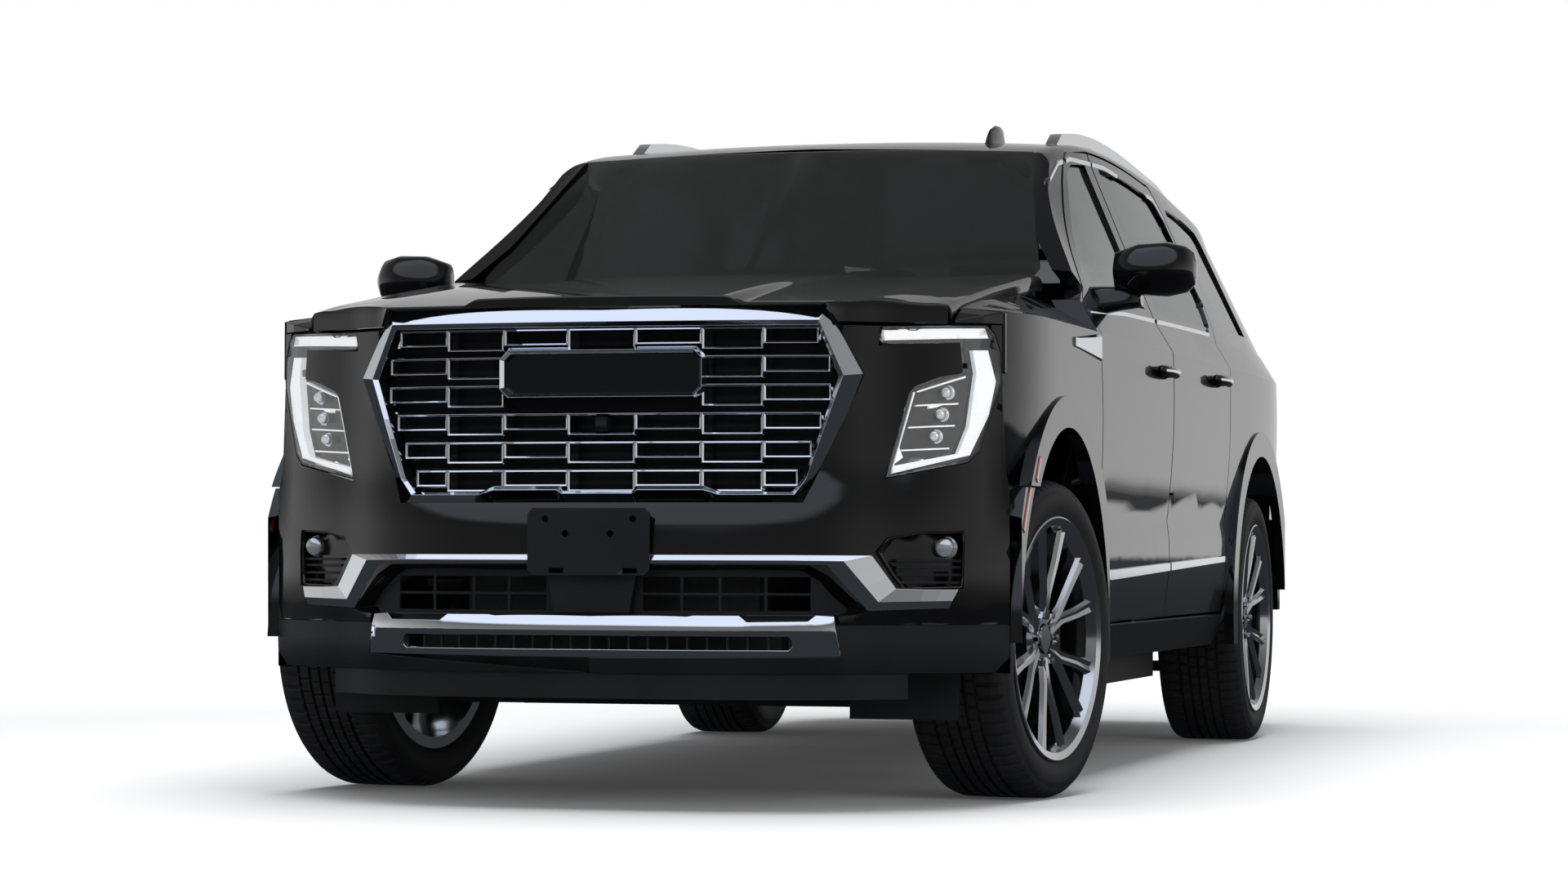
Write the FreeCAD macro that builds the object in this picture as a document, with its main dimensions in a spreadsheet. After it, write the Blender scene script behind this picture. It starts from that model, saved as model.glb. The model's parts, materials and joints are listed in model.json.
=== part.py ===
"""A full-size, long-wheelbase sport utility vehicle, as a parametric document.

Millimetres, +Z up, the nose towards -Y, the vehicle's left side towards +X.
The origin is on the ground, half way along and half way across.
Stations along the vehicle are measured from the front axle, rearward positive.
"""
import FreeCAD, Part
import math
import os
import re

V = FreeCAD.Vector
doc = FreeCAD.newDocument("suv")
sheet = doc.addObject("Spreadsheet::Sheet", "Sizes")

SIZES = [
    ("overall_length", 5722, "front bumper to rear bumper"),
    ("front_overhang", 957, "front bumper to front axle"),
    ("wheelbase", 3407, "front axle to rear axle"),
    ("half_width", 1028, "centre to the wheel arch flares"),
    ("track", 1736, "between tyre centres, both axles"),
    ("tyre_radius", 419, "unladen, so the tyre just meets the ground"),
    ("tyre_width", 285, "section width"),
    ("rim_radius", 305, "bead seat"),
    ("rim_lip_radius", 322, "outer lip of the rim"),
    ("rim_width", 240, "between the rim's two lips"),
    ("spoke_count", 6, "split spokes on each wheel"),
    ("hub_radius", 78, "wheel centre, behind the cap"),
    ("hub_bore_radius", 39.1, "pilot bore of the wheel"),
    ("lug_circle", 139.7, "pitch circle of the six wheel lugs"),
    ("disc_radius", 200, "brake disc"),
    ("disc_thickness", 30, "brake disc"),
    ("steer_rest", 9.4, "front wheels turned to the vehicle's right, degrees"),
    ("kingpin_offset", 800, "centre to the steering axis"),
    ("arch_radius", 552, "wheel arch opening"),
    ("arch_centre_up", 424, "ground to the centre of the arch circle"),
    ("flare_radius", 636, "outer edge of the arch flare"),
    ("door_gap", 8, "shut line round the doors"),
    ("hood_gap", 6, "shut line round the hood"),
    ("hood_hinge_back", 490, "hood hinge axis, behind the front axle"),
    ("hood_hinge_up", 1396, "ground to the hood hinge axis"),
    ("hinge_out", 1003, "centre to the upright axes of the door hinges"),
    ("front_hinge_back", 585, "front door hinge axis, behind the front axle"),
    ("rear_hinge_back", 1734, "rear door hinge axis, behind the front axle"),
    ("hinge_pin", 5, "radius of the door hinge pins"),
    ("load_floor_up", 750, "ground to the floor behind the second row"),
    ("wall", 80, "thickness of doors and body sides below the belt"),
    ("upper_wall", 45, "thickness of pillars, roof and window frames"),
    ("glass_depth", 8, "glass set in from the outer skin"),
    ("glass_thickness", 5, "side and rear glass"),
    ("belt_up", 1345, "ground to the belt line"),
    ("belt_half", 962, "centre to the belt line"),
    ("crease_up", 1253, "ground to the shoulder crease"),
    ("crease_half", 1018, "centre to the shoulder crease"),
    ("sill_up", 343, "ground to the bottom of the rocker"),
    ("roof_up", 1928, "ground to the roof at the centre"),
    ("floor_up", 500, "ground to the cabin floor"),
    ("front_door_cut", 505, "leading edge of the front door, behind the axle"),
    ("middle_cut", 1658, "shut line between the doors, behind the axle"),
    ("rear_door_cut", 2755, "trailing edge of the rear door, behind the axle"),
    ("door_bottom_up", 448, "ground to the bottom of the doors"),
    ("roof_end", 4430, "rear edge of the roof, behind the front axle"),
    ("gate_hinge_back", 4452, "liftgate hinge axis, behind the front axle"),
    ("gate_hinge_up", 1796, "ground to the liftgate hinge axis"),
    ("rail_spacing", 860, "between the centres of the two frame rails"),
    ("rail_width", 80, "frame rail section"),
    ("rail_height", 130, "frame rail section"),
    ("rail_up", 330, "ground to the bottom of the frame rails"),
    ("rail_tail_up", 400, "ground to the bottom of the rails at the tail"),
    ("hitch_bore", 50.8, "square tube of the tow hitch receiver"),
]
for row, (alias, number, note) in enumerate(SIZES, 1):
    sheet.set(f"A{row}", alias)
    sheet.set(f"B{row}", str(number))
    sheet.setAlias(f"B{row}", alias)
    sheet.set(f"C{row}", note)
doc.recompute()


def size(alias):
    return float(sheet.get(alias))


FRONT_AXLE = size("front_overhang") - size("overall_length") / 2
REAR_AXLE = FRONT_AXLE + size("wheelbase")
NOSE = -size("front_overhang")
TAIL = size("overall_length") - size("front_overhang")
nodes = []


def station(s):
    """Row y of a station measured rearward from the front axle."""
    return FRONT_AXLE + s


def bound(text):
    """An expression with each size's name turned into its cell in the sheet."""
    names = "|".join(alias for alias, number, note in SIZES)
    return re.sub(rf"\b({names})\b", r"Sizes.\1", text)


def bind(thing, **expressions):
    for prop, text in expressions.items():
        thing.setExpression(prop.replace("_", "."), bound(text))
    return thing


def place(thing, x="0", y="0", z="0"):
    for axis, text in zip("xyz", (x, y, z)):
        thing.setExpression(f"Placement.Base.{axis}", bound(text))
    return thing


def box(name, x, y, z):
    """A block from three (low, high) pairs of expressions."""
    block = doc.addObject("Part::Box", name)
    for prop, (low, high) in zip(("Length", "Width", "Height"), (x, y, z)):
        block.setExpression(prop, bound(f"({high}) - ({low})"))
    return place(block, x[0], y[0], z[0])


def rod(name, radius, length, x, y, z, along=V(0, 0, 1)):
    """A cylinder whose first end is centred on the given point."""
    bar = doc.addObject("Part::Cylinder", name)
    bar.Placement.Rotation = FreeCAD.Rotation(V(0, 0, 1), along)
    bind(bar, Radius=radius, Height=length)
    return place(bar, x, y, z)


def fuse(name, pieces):
    joined = doc.addObject("Part::MultiFuse", name)
    joined.Shapes = pieces
    return joined


def cut(name, base, tool):
    result = doc.addObject("Part::Cut", name)
    result.Base = base
    result.Tool = tool
    return result


def mirrored(name, source):
    """The same piece on the vehicle's other side."""
    twin = doc.addObject("Part::Mirroring", name)
    twin.Source = source
    twin.Normal = V(1, 0, 0)
    return twin


def pair(name, source):
    """A piece and its mirror image as one sub-part of two solids."""
    both = doc.addObject("Part::Compound", name)
    both.Links = [source, mirrored(name + "_twin", source)]
    return both


def shaped(name, shape):
    thing = doc.addObject("Part::Feature", name)
    thing.Shape = shape
    return thing


def node(thing, label):
    thing.Label = label
    nodes.append((label, thing))


def outline(path, put):
    """A closed face: a point is reached by a straight edge, a list of points by a smooth curve."""
    edges = []
    here = put(*path[0])
    first = here
    for item in path[1:]:
        if isinstance(item, list):
            points = [here] + [put(*p) for p in item]
            curve = Part.BSplineCurve()
            curve.interpolate(points)
            edges.append(curve.toShape())
            here = points[-1]
        else:
            point = put(*item)
            edges.append(Part.makeLine(here, point))
            here = point
    if (here - first).Length > 1e-6:
        edges.append(Part.makeLine(here, first))
    return Part.Wire(edges)


def prism_x(path, low, high):
    """An outline of (station, height) points carried across the vehicle."""
    wire = outline(path, lambda s, up: V(low, station(s), up))
    return Part.Face(wire).extrude(V(high - low, 0, 0))


def prism_y(path, low, high):
    """An outline of (half width, height) points carried along the vehicle."""
    wire = outline(path, lambda out, up: V(out, station(low), up))
    return Part.Face(wire).extrude(V(0, high - low, 0))


def prism_z(path, low, high):
    """An outline of (half width, station) points carried upward."""
    wire = outline(path, lambda out, s: V(out, station(s), low))
    return Part.Face(wire).extrude(V(0, 0, high - low))


def flip(shape):
    return shape.mirror(V(0, 0, 0), V(1, 0, 0))


def whole(half):
    """A half shape joined to its mirror image across the centre plane."""
    return half.fuse(flip(half)).removeSplitter()


def both_sides(shape):
    return Part.makeCompound([shape, flip(shape)])


def block(x0, x1, s0, s1, z0, z1):
    return Part.makeBox(x1 - x0, s1 - s0, z1 - z0, V(x0, station(s0), z0))


# Body surfaces: how far the side is drawn in, and the roof dropped, at each station
BELT = size("belt_up")
BELT_HALF = size("belt_half")
CREASE = size("crease_up")
CREASE_HALF = size("crease_half")
SILL = size("sill_up")
ROOF = size("roof_up")
WALL = size("wall")
UPPER_WALL = size("upper_wall")
ARCH_R = size("arch_radius")
ARCH_UP = size("arch_centre_up")
FLARE_R = size("flare_radius")
GAP = size("door_gap")
MIDDLE = size("middle_cut")
SIDE_STATIONS = [(-560, 62), (-480, 32), (-380, 12), (-250, 2), (-100, 0), (300, 0), (1500, 0), (3000, 0),
                 (3650, 4), (3950, 22), (4200, 62), (4400, 118), (4540, 185), (4650, 265)]
ROOF_STATIONS = [(100, 230, 0), (700, 150, 0), (1173, 80, 0), (1400, 42, 0), (1700, 12, 0), (2050, 0, 0),
                 (2600, 8, 0), (3000, 26, 0), (3400, 50, 6), (3700, 68, 12), (4100, 92, 46), (4400, 112, 112),
                 (4640, 128, 190)]


def lower_section(s, draw_in, inset):
    """Half section below the belt, at one station, moved in by inset."""
    def put(out, up):
        return V(max(out - draw_in - inset, 0), station(s), up)
    foot = SILL + (inset * 0.5 if inset else 0)
    wire = outline([(BELT_HALF - 17, foot), (985, 440), [(1001, 560), (1006, 650), (998, 738)],
                    [(1010, 860), (1018, 980), (1021, 1130), (CREASE_HALF, CREASE)], (BELT_HALF, BELT)], put)
    edges = wire.Edges[:-1]
    top = V(0, station(s), BELT)
    low = V(0, station(s), foot)
    edges.append(Part.makeLine(edges[-1].Vertexes[-1].Point, top))
    edges.append(Part.makeLine(top, low))
    edges.append(Part.makeLine(low, edges[0].Vertexes[0].Point))
    return Part.Wire(edges)


def upper_section(s, drop, draw_in, inset):
    """Half section from the belt to the roof, at one station, moved in by inset."""
    def put(out, up):
        return V(max(out - draw_in - inset, 0), station(s), up)
    eave = ROOF - 48 - drop - inset
    centre = V(0, station(s), ROOF - drop - inset)
    wire = outline([(BELT_HALF, BELT - 2), (BELT_HALF, BELT), (772, eave - 60), (750, eave),
                    [(728, eave + 19), (690, eave + 28)]], put)
    edges = wire.Edges[:-1]
    crown = Part.BSplineCurve()
    last = edges[-1].Vertexes[-1].Point
    crown.interpolate([last, V(last.x * 0.55, last.y, last.z + (centre.z - last.z) * 0.72), centre])
    edges.append(crown.toShape())
    foot = V(0, station(s), BELT - 2)
    edges.append(Part.makeLine(centre, foot))
    edges.append(Part.makeLine(foot, edges[0].Vertexes[0].Point))
    return Part.Wire(edges)


def lower_body(inset):
    return Part.makeLoft([lower_section(s, d, inset) for s, d in SIDE_STATIONS], True, False)


def upper_body(inset):
    return Part.makeLoft([upper_section(s, d, w, inset) for s, d, w in ROOF_STATIONS], True, False)


DOOR_INNER = 712
WIND_RISE = 0.6616
WIND_BASE = 1290
WIND_RUN = V(0, 1, WIND_RISE)


def ahead_of_windshield(depth):
    """Everything ahead of the windshield's outer surface, moved in by depth."""
    path = [(0, 270), [(420, 294), (814, 360), (1100, 440)], (1100, -900), (0, -900)]
    wire = outline(path, lambda out, s: V(out, station(s - 400), WIND_BASE - 400 * WIND_RISE))
    solid = Part.Face(wire).extrude(WIND_RUN * 1500)
    lean = math.atan(WIND_RISE)
    solid.translate(V(0, math.sin(lean), -math.cos(lean)) * depth)
    return solid


def arch(s, radius, x0=300, x1=1100):
    return Part.makeCylinder(radius, x1 - x0, V(x0, station(s), ARCH_UP), V(1, 0, 0))


def door_front_edge(g):
    """Leading edge of the front door from its foot to the shoulder, moved back by g."""
    cutline = size("front_door_cut") + g
    return [(cutline + 72, size("door_bottom_up")), [(cutline + 56, 700), (cutline + 10, 1000), (cutline - 20, 1160)],
            (cutline - 20, CREASE)]


def front_door_path(g):
    cutline = size("front_door_cut") + g
    edge = door_front_edge(g)
    edge[0] = (edge[0][0], edge[0][1] + g)
    return edge + [[(cutline - 14, 1310), (cutline + 20, 1352)], (640 + g, 1392 - g), (1214 + g, 1771 - g),
                   [(1290, 1815 - g), (1400, 1850 - g)], (MIDDLE - 2 * g, 1868 - g), (MIDDLE - g, size("door_bottom_up") + g)]


def rear_door_path(g):
    cutline = size("rear_door_cut")
    low = size("door_bottom_up")
    return [(MIDDLE + g, low + g), (MIDDLE + 2 * g, 1868 - g), [(2050, 1872 - g), (2600, 1852 - g)],
            [(2764 - 2 * g, 1790), (2833 - 2 * g, 1640), (2881 - g, 1480)], [(2860 - g, 1400), (cutline + 20 - g, 1330)],
            (cutline - g, 1130), (cutline - g, low + g)]


FRONT_WINDOW = [(690, 1376), (1225, 1738), [(1280, 1775), (1370, 1806)], (1560, 1820), (1560, 1380)]
REAR_WINDOW = [(1755, 1380), (1755, 1826), [(2050, 1830), (2600, 1808)], [(2720, 1750), (2800, 1600), (2830, 1480)],
               [(2800, 1405), (2700, 1388)]]
QUARTER_WINDOW = [(3170, 1400), [(3000, 1600), (2880, 1755)], (2900, 1795), [(3200, 1793), (3600, 1768)],
                  (3660, 1740), (3690, 1405)]


def glass_between(path, outer_depth, x0=500):
    """Glass that fills a window cut in the body side."""
    sheet_glass = upper_body(outer_depth).cut(upper_body(outer_depth + size("glass_thickness")))
    return sheet_glass.common(prism_x(path, x0, 1100))


lower_outer = lower_body(0)
lower_shell = lower_outer.cut(lower_body(WALL))
upper_outer = upper_body(0).cut(ahead_of_windshield(0))
upper_shell = upper_outer.cut(upper_body(UPPER_WALL))
side_shell = lower_shell.fuse(upper_shell)


def make_doors():
    """Four hollow doors cut from the body side, each with its glass."""
    doors = {
        "front": (front_door_path, FRONT_WINDOW),
        "rear": (rear_door_path, REAR_WINDOW),
    }
    for where, (path, window) in doors.items():
        cutter = prism_x(path(GAP * 0.5), DOOR_INNER, 1100)
        hole = prism_x(window, 500, 1100)
        panel = side_shell.common(cutter).cut(hole)
        for up in HINGE_HEIGHTS:
            panel = panel.cut(door_hinge(where, up)[1])
        glass = glass_between(window, size("glass_depth"))
        for side, turn in (("left", lambda shape: shape), ("right", flip)):
            node(shaped(f"door_{where}_{side}", turn(panel)), f"door_{where}_{side}")
            node(shaped(f"glass_{where}_{side}", turn(glass)), f"glass_{where}_{side}")


def windshield_opening(depth):
    """The space that the windshield fills, from the outer surface to a depth."""
    opening = prism_y([(0, 1400), (800, 1400), (820, 1440), (688, 1826), (0, 1852)], -200, 1500)
    return opening.common(ahead_of_windshield(depth))


def make_windshield():
    """Laminated windshield, let in to the pillars and the roof header."""
    pane = upper_body(0).common(windshield_opening(14)).cut(ahead_of_windshield(8))
    node(shaped("windshield", whole(pane)), "windshield")


def liftgate_region(gap, behind=0):
    """The liftgate's half outline carried through the tail, larger by a gap."""
    path = [(0, 795 - gap), (752 + gap, 795 - gap), (756 + gap, 1000), (752 + gap, 1310), (722 + gap, 1400),
            (606 + gap, 1806 + gap), (0, 1806 + gap)]
    return prism_y(path, 4300, 4900)


def tail_lamp_region(gap):
    """Upright lamp at the rear corner, as seen from behind, larger by a gap."""
    path = [(770 - gap, 860 - gap), (905, 860 - gap), (925 + gap, 1180), (900 + gap, 1330 + gap), (775 - gap, 1330 + gap)]
    return prism_y(path, 4440 - gap, 4900)


def fender_region(gap):
    """Side view of a front fender, larger by a gap behind."""
    edge = door_front_edge(gap - GAP)
    return prism_x([(0, SILL), (edge[0][0], SILL)] + edge + [(-556, CREASE), (-556, 815), (-300, 815)], 500, 1100)


def door_hinge(where, up):
    """A leaf with its pin, fixed to the pillar, and the pocket it needs in the door."""
    out, pin = size("hinge_out"), size("hinge_pin")
    y = station(size(f"{where}_hinge_back"))
    leaf = Part.makeBox(133, 8, 44, V(out - 133, y - 4, up - 22))
    leaf = leaf.fuse(Part.makeBox(23, 146, 44, V(out - 133, y - 142, up - 22)))
    if where == "front":
        leaf = leaf.fuse(Part.makeBox(70, 22, 44, V(out - 133, y - 142, up - 22)))
    barrel = Part.makeCylinder(pin, 92, V(out, y, up - 46), V(0, 0, 1))
    pocket = Part.makeBox(110, 168, 60, V(out - 106, y - 156, up - 30))
    bore = Part.makeCylinder(pin + 0.3, 104, V(out, y, up - 52), V(0, 0, 1))
    return leaf.fuse(barrel), pocket.fuse(bore)


HINGE_HEIGHTS = (850, 1120)


def make_body_side():
    """Pillars, rocker and rear quarter of each side, welded up as one panel."""
    wheel_cut = arch(size("wheelbase"), ARCH_R, 0, 1100)
    region = prism_x([(380, 300), (380, 1352), (420, 2000), (4600, 2000), (4660, 300)], 500, 1100)
    side = side_shell.common(region).cut(fender_region(0.3))
    side = side.cut(prism_x([(300, CREASE), (300, 1700), (640, 1392), (462, 1343), (435, CREASE)], 500, 1100))
    side = side.cut(prism_y([(0, 1300), (690, 1300), (690, 2000), (0, 2000)], 300, 4700))
    for path in (front_door_path, rear_door_path):
        side = side.cut(prism_x(path(-GAP * 0.5), DOOR_INNER - GAP - 6, 1100))
    side = side.cut(prism_x(QUARTER_WINDOW, 500, 1100)).cut(block(0, 862, 0, 4000, 300, 1300))
    side = side.cut(block(0, 1100, 3950, 4800, 300, 763)).cut(windshield_opening(60))
    side = side.cut(liftgate_region(GAP)).cut(tail_lamp_region(0))
    side = side.cut(block(0, 622, size("roof_end"), 4700, 1600, 2000))
    flare = arch(size("wheelbase"), FLARE_R, CREASE_HALF - 22, size("half_width"))
    flare = flare.common(block(0, 1100, size("rear_door_cut") + GAP * 0.5, 3952, SILL, 1200))
    sill = block(862, BELT_HALF - WALL + 17, 600, 2800, SILL + 20, size("door_bottom_up") - 8)
    sill = sill.fuse(block(862, 877, 600, 2800, SILL + 20, size("floor_up")))
    post = lower_body(25.3).cut(lower_body(100)).common(fender_region(0)).common(block(862, 1100, 400, 700, SILL, BELT))
    rear_post = lower_body(WALL + 6).cut(lower_body(WALL + 46)).common(block(862, 1100, MIDDLE - 62, MIDDLE - 4, 400, BELT))
    side = side.fuse([flare, sill, post, rear_post]).cut(wheel_cut).cut(arch(0, ARCH_R + 2, 0, 1100))
    for where in ("front", "rear"):
        for up in HINGE_HEIGHTS:
            side = side.fuse(door_hinge(where, up)[0])
    for side_name, turn in (("left", lambda shape: shape), ("right", flip)):
        node(shaped(f"body_side_{side_name}", turn(side)), f"body_side_{side_name}")


def gate_hinge():
    """Bracket and pin under the roof's rear edge, and the pocket they need in the liftgate."""
    y, up = station(size("gate_hinge_back")), size("gate_hinge_up")
    bracket = Part.makeBox(28, 36, 16, V(386, y - 30, up - 8))
    pin = Part.makeCylinder(5, 60, V(370, y, up), V(1, 0, 0))
    pocket = Part.makeBox(40, 34, 90, V(380, y - 10, up - 60))
    bore = Part.makeCylinder(5.3, 70, V(365, y, up), V(1, 0, 0))
    return bracket.fuse(pin), pocket.fuse(bore)


def make_roof():
    """Roof skin with the headers over the windshield and liftgate."""
    half = upper_shell.common(block(0, 690, 1100, size("roof_end"), 1500, 2000))
    half = half.cut(block(0, 690, 1000, 4700, 1300, 1720)).cut(windshield_opening(60))
    half = half.fuse(gate_hinge()[0])
    node(shaped("roof_panel", whole(half)), "roof_panel")


def make_quarter_glass():
    node(shaped("quarter_glass", both_sides(glass_between(QUARTER_WINDOW, size("glass_depth")))), "quarter_glass")

HOOD_EDGE = [(-700, 1240, 1262, 856), (-560, 1264, 1284, 856), (-342, 1296, 1314, 856), (-142, 1314, 1342, 852),
             (150, 1336, 1378, 846), (480, 1364, 1420, 834)]
HOOD_CENTRE = [(-880, 1284), (-840, 1291), (-760, 1306), (-560, 1334), (-300, 1362), (0, 1394), (300, 1420), (520, 1428)]


def along(table, s, column=1):
    """Straight-line reading of a short table of stations."""
    if s <= table[0][0]:
        return table[0][column]
    for before, after in zip(table, table[1:]):
        if s <= after[0]:
            share = (s - before[0]) / (after[0] - before[0])
            return before[column] + share * (after[column] - before[column])
    return table[-1][column]


def polygon(points):
    return Part.makePolygon(points + points[:1])


def hood_loft(grow=0):
    """Half of the hood skin, or a solid that clears it by a gap all round when grown."""
    rings = []
    thick = 16
    for s in (-900, -840, -760, -660, -500, -300, -100, 150, 520):
        centre = along(HOOD_CENTRE, s)
        top_up = min(along(HOOD_EDGE, s, 2), centre - 6)
        out = along(HOOD_EDGE, s, 3) + grow
        foot = min(along(HOOD_EDGE, s, 1) + 5, top_up - 17) - grow
        points = [(0, centre + grow), (335, centre - 2 + grow), (640, centre - 7 + grow), (out - 18, top_up + grow),
                  (out, top_up - 14), (out, foot)]
        if grow:
            points += [(out - 40, foot), (out - 60, foot - 1), (600, foot - 2), (0, foot - 3)]
        else:
            points += [(out - 16, foot), (out - 24, top_up - thick), (630, centre - 7 - thick), (0, centre - thick)]
        rings.append(polygon([V(x, station(s), up) for x, up in points]))
    return Part.makeLoft(rings, True, False)


def make_fenders():
    """Front fenders: a skin round the wheel arch that turns in to the hood."""
    skin = lower_outer.cut(lower_body(25))
    side = skin.common(fender_region(0))
    rings = []
    for s in (-556, -342, -142, 150, 434.7):
        edge_up = along(HOOD_EDGE, s, 1)
        edge_out = along(HOOD_EDGE, s, 3) - 10
        crease_out = CREASE_HALF - along(SIDE_STATIONS, s)
        points = [(crease_out, CREASE), (edge_out, edge_up), (edge_out, edge_up - 28), (crease_out - 25, CREASE)]
        rings.append(polygon([V(out, station(s), up) for out, up in points]))
    top = Part.makeLoft(rings, True, True).cut(hood_loft(size("hood_gap")))
    flare = arch(0, FLARE_R, CREASE_HALF - 22, size("half_width"))
    flare = flare.common(block(0, 1100, -520, 700, SILL, 1200)).common(fender_region(0))
    fender = side.fuse([top, flare]).cut(arch(0, ARCH_R))
    node(shaped("front_fenders", both_sides(fender)), "front_fenders")


def make_hood():
    """Hood panel with a raised centre, turned down at its sides, and its hinge arms."""
    plan = prism_z([(0, -862), [(400, -842), (640, -790), (760, -722), (860, -640)], (870, -600), (870, 470),
                    (834, 470), [(500, 380), (0, 330)]], 1100, 1500)
    y, up = station(size("hood_hinge_back")), size("hood_hinge_up")
    arm = Part.makeBox(14, 81, 24, V(794, y - 72, up - 12))
    eye = Part.makeCylinder(5.3, 40, V(780, y, up), V(1, 0, 0))
    half = hood_loft().common(plan).fuse(arm).cut(eye)
    node(shaped("hood", whole(half)), "hood")


NOSE_CURVE = [(0, -940), [(300, -930), (516, -884), (620, -836), (704, -775), (800, -712), (873, -655), (940, -598)],
              (985, -552)]
GRILLE_CURVE = [(0, -872), [(300, -862), (560, -826), (668, -796)]]
LAMP_CURVE = [(655, -758), [(704, -733), (780, -692), (860, -648), (920, -604), (966, -562)]]


def behind_curve(curve, low, high, shift=0):
    """Half solid behind a plan curve across the nose, from one height to another."""
    end = curve[-1][-1] if isinstance(curve[-1], list) else curve[-1]
    start = curve[0]
    path = [(start[0], start[1] + shift)]
    for item in curve[1:]:
        if isinstance(item, list):
            path.append([(x, s + shift) for x, s in item])
        else:
            path.append((item[0], item[1] + shift))
    path += [(end[0], 0), (start[0], 0)]
    return prism_z(path, low, high)


def nose_band(curve, low, high, near, far):
    """Half band between two depths behind a plan curve."""
    return behind_curve(curve, low, high, near).cut(behind_curve(curve, low - 1, high + 1, far))


def make_front():
    """Bumper, grille, lamps and the dark lower parts of the nose."""
    bumper = nose_band(NOSE_CURVE, SILL, 768.7, 0, 40)
    wrap = lower_outer.cut(lower_body(30)).common(prism_x([(-553, SILL), (-553, 811), (0, 811), (0, SILL)], 500, 1100))
    wrap = wrap.cut(arch(0, ARCH_R))
    flare = arch(0, FLARE_R, CREASE_HALF - 60, 1015).common(block(0, 1100, -700, -300, 420, 811)).cut(arch(0, ARCH_R))
    flare = flare.common(block(0, 1100, -556, 0, 0, 2000))
    cheek = nose_band(LAMP_CURVE, 768, 850, 0, 40).common(block(0, 1100, -1000, -556.3, 700, 900))
    strip = nose_band([(664, -796), (700, -740)], 768, 1200, 4, 40)
    intake = prism_y([(0, 484), (545, 484), (560, 540), (548, 610), (0, 610)], -1000, -700)
    slot = prism_y([(0, 385), (583, 385), (583, 474), (0, 474)], -1000, -700)
    fog = prism_y([(770, 560), (905, 585), (880, 700), (790, 705)], -1000, -400)
    bumper = bumper.cut(intake).cut(slot).cut(fog)
    half = bumper.fuse(wrap).fuse(flare).fuse(cheek).fuse(strip)

    outer = [(0, 1256), (575, 1256), (661, 1088), (532, 769), (0, 769)]
    inner = [(0, 1208), (556, 1208), (606, 1082), (512, 795), (0, 795)]
    frame = nose_band(GRILLE_CURVE, 769, 1256, -6, 60)
    frame = frame.common(prism_y(outer, -1000, -700)).cut(prism_y(inner, -1000, -700))
    node(shaped("grille_frame", whole(frame)), "grille_frame")

    mesh = nose_band(GRILLE_CURVE, 795, 1208, 12, 34).common(prism_y(inner, -1000, -700))
    for column in range(4):
        for level in range(6):
            low = 803 + level * 70
            hole = block(column * 140 + 12, column * 140 + 128, -1000, -600, low, low + 52)
            mesh = mesh.cut(hole)
    node(shaped("grille_lattice", whole(mesh)), "grille_lattice")

    lower_bar = nose_band(NOSE_CURVE, 385, 474, -4, 30).common(block(0, 580, -1000, -600, 385, 474))
    lower_bar = lower_bar.cut(block(0, 520, -1000, -600, 401, 429))
    upper_bar = nose_band(NOSE_CURVE, 614, 637, -8, -0.3).common(block(0, 400, -1000, -600, 600, 640))
    node(shaped("bumper_trim", Part.makeCompound([whole(lower_bar), whole(upper_bar)])), "bumper_trim")

    dam = nose_band(NOSE_CURVE, 281, SILL, 30, 60).common(block(0, 900, -1000, -560, 200, 400))
    node(shaped("valance", whole(dam)), "valance")
    node(shaped("plate_bracket", block(-156, 162, -957, -948.3, 587, 755)), "plate_bracket")

    lens = nose_band(LAMP_CURVE, 852, 1208, 2, 130)
    lens = lens.common(block(0, 1100, -900, -556.3, 800, 1300)).common(prism_y([(663, 1208), (961, 1208), (968, 1068), (884, 852), (706, 852), (668, 1100)], -800, -300))
    half = half.cut(lens)
    node(shaped("front_bumper", whole(half)), "front_bumper")
    pod = nose_band(NOSE_CURVE, 560, 705, 12, 70).common(prism_y([(770.4, 560.6), (904.5, 585.3), (879.6, 699.7), (790.3, 704.6)],
                                                                 -1000, -400))
    node(shaped("front_lamps", Part.makeCompound([lens, pod, flip(lens), flip(pod)])), "front_lamps")


REAR_FACE = [(4700, 790), [(4703, 1000), (4694, 1200), (4655, BELT)], [(4590, 1560), (4500, 1800)]]


def rear_band(near, far, low=790):
    outer = [(s - near, up) for s, up in ((4700, low), (4702, 1000), (4694, 1200), (4655, BELT), (4585, 1560), (4500, 1810))]
    inner = [(s - far + near, up) for s, up in outer]
    return prism_x(outer + inner[::-1], 0, 1100)


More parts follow.
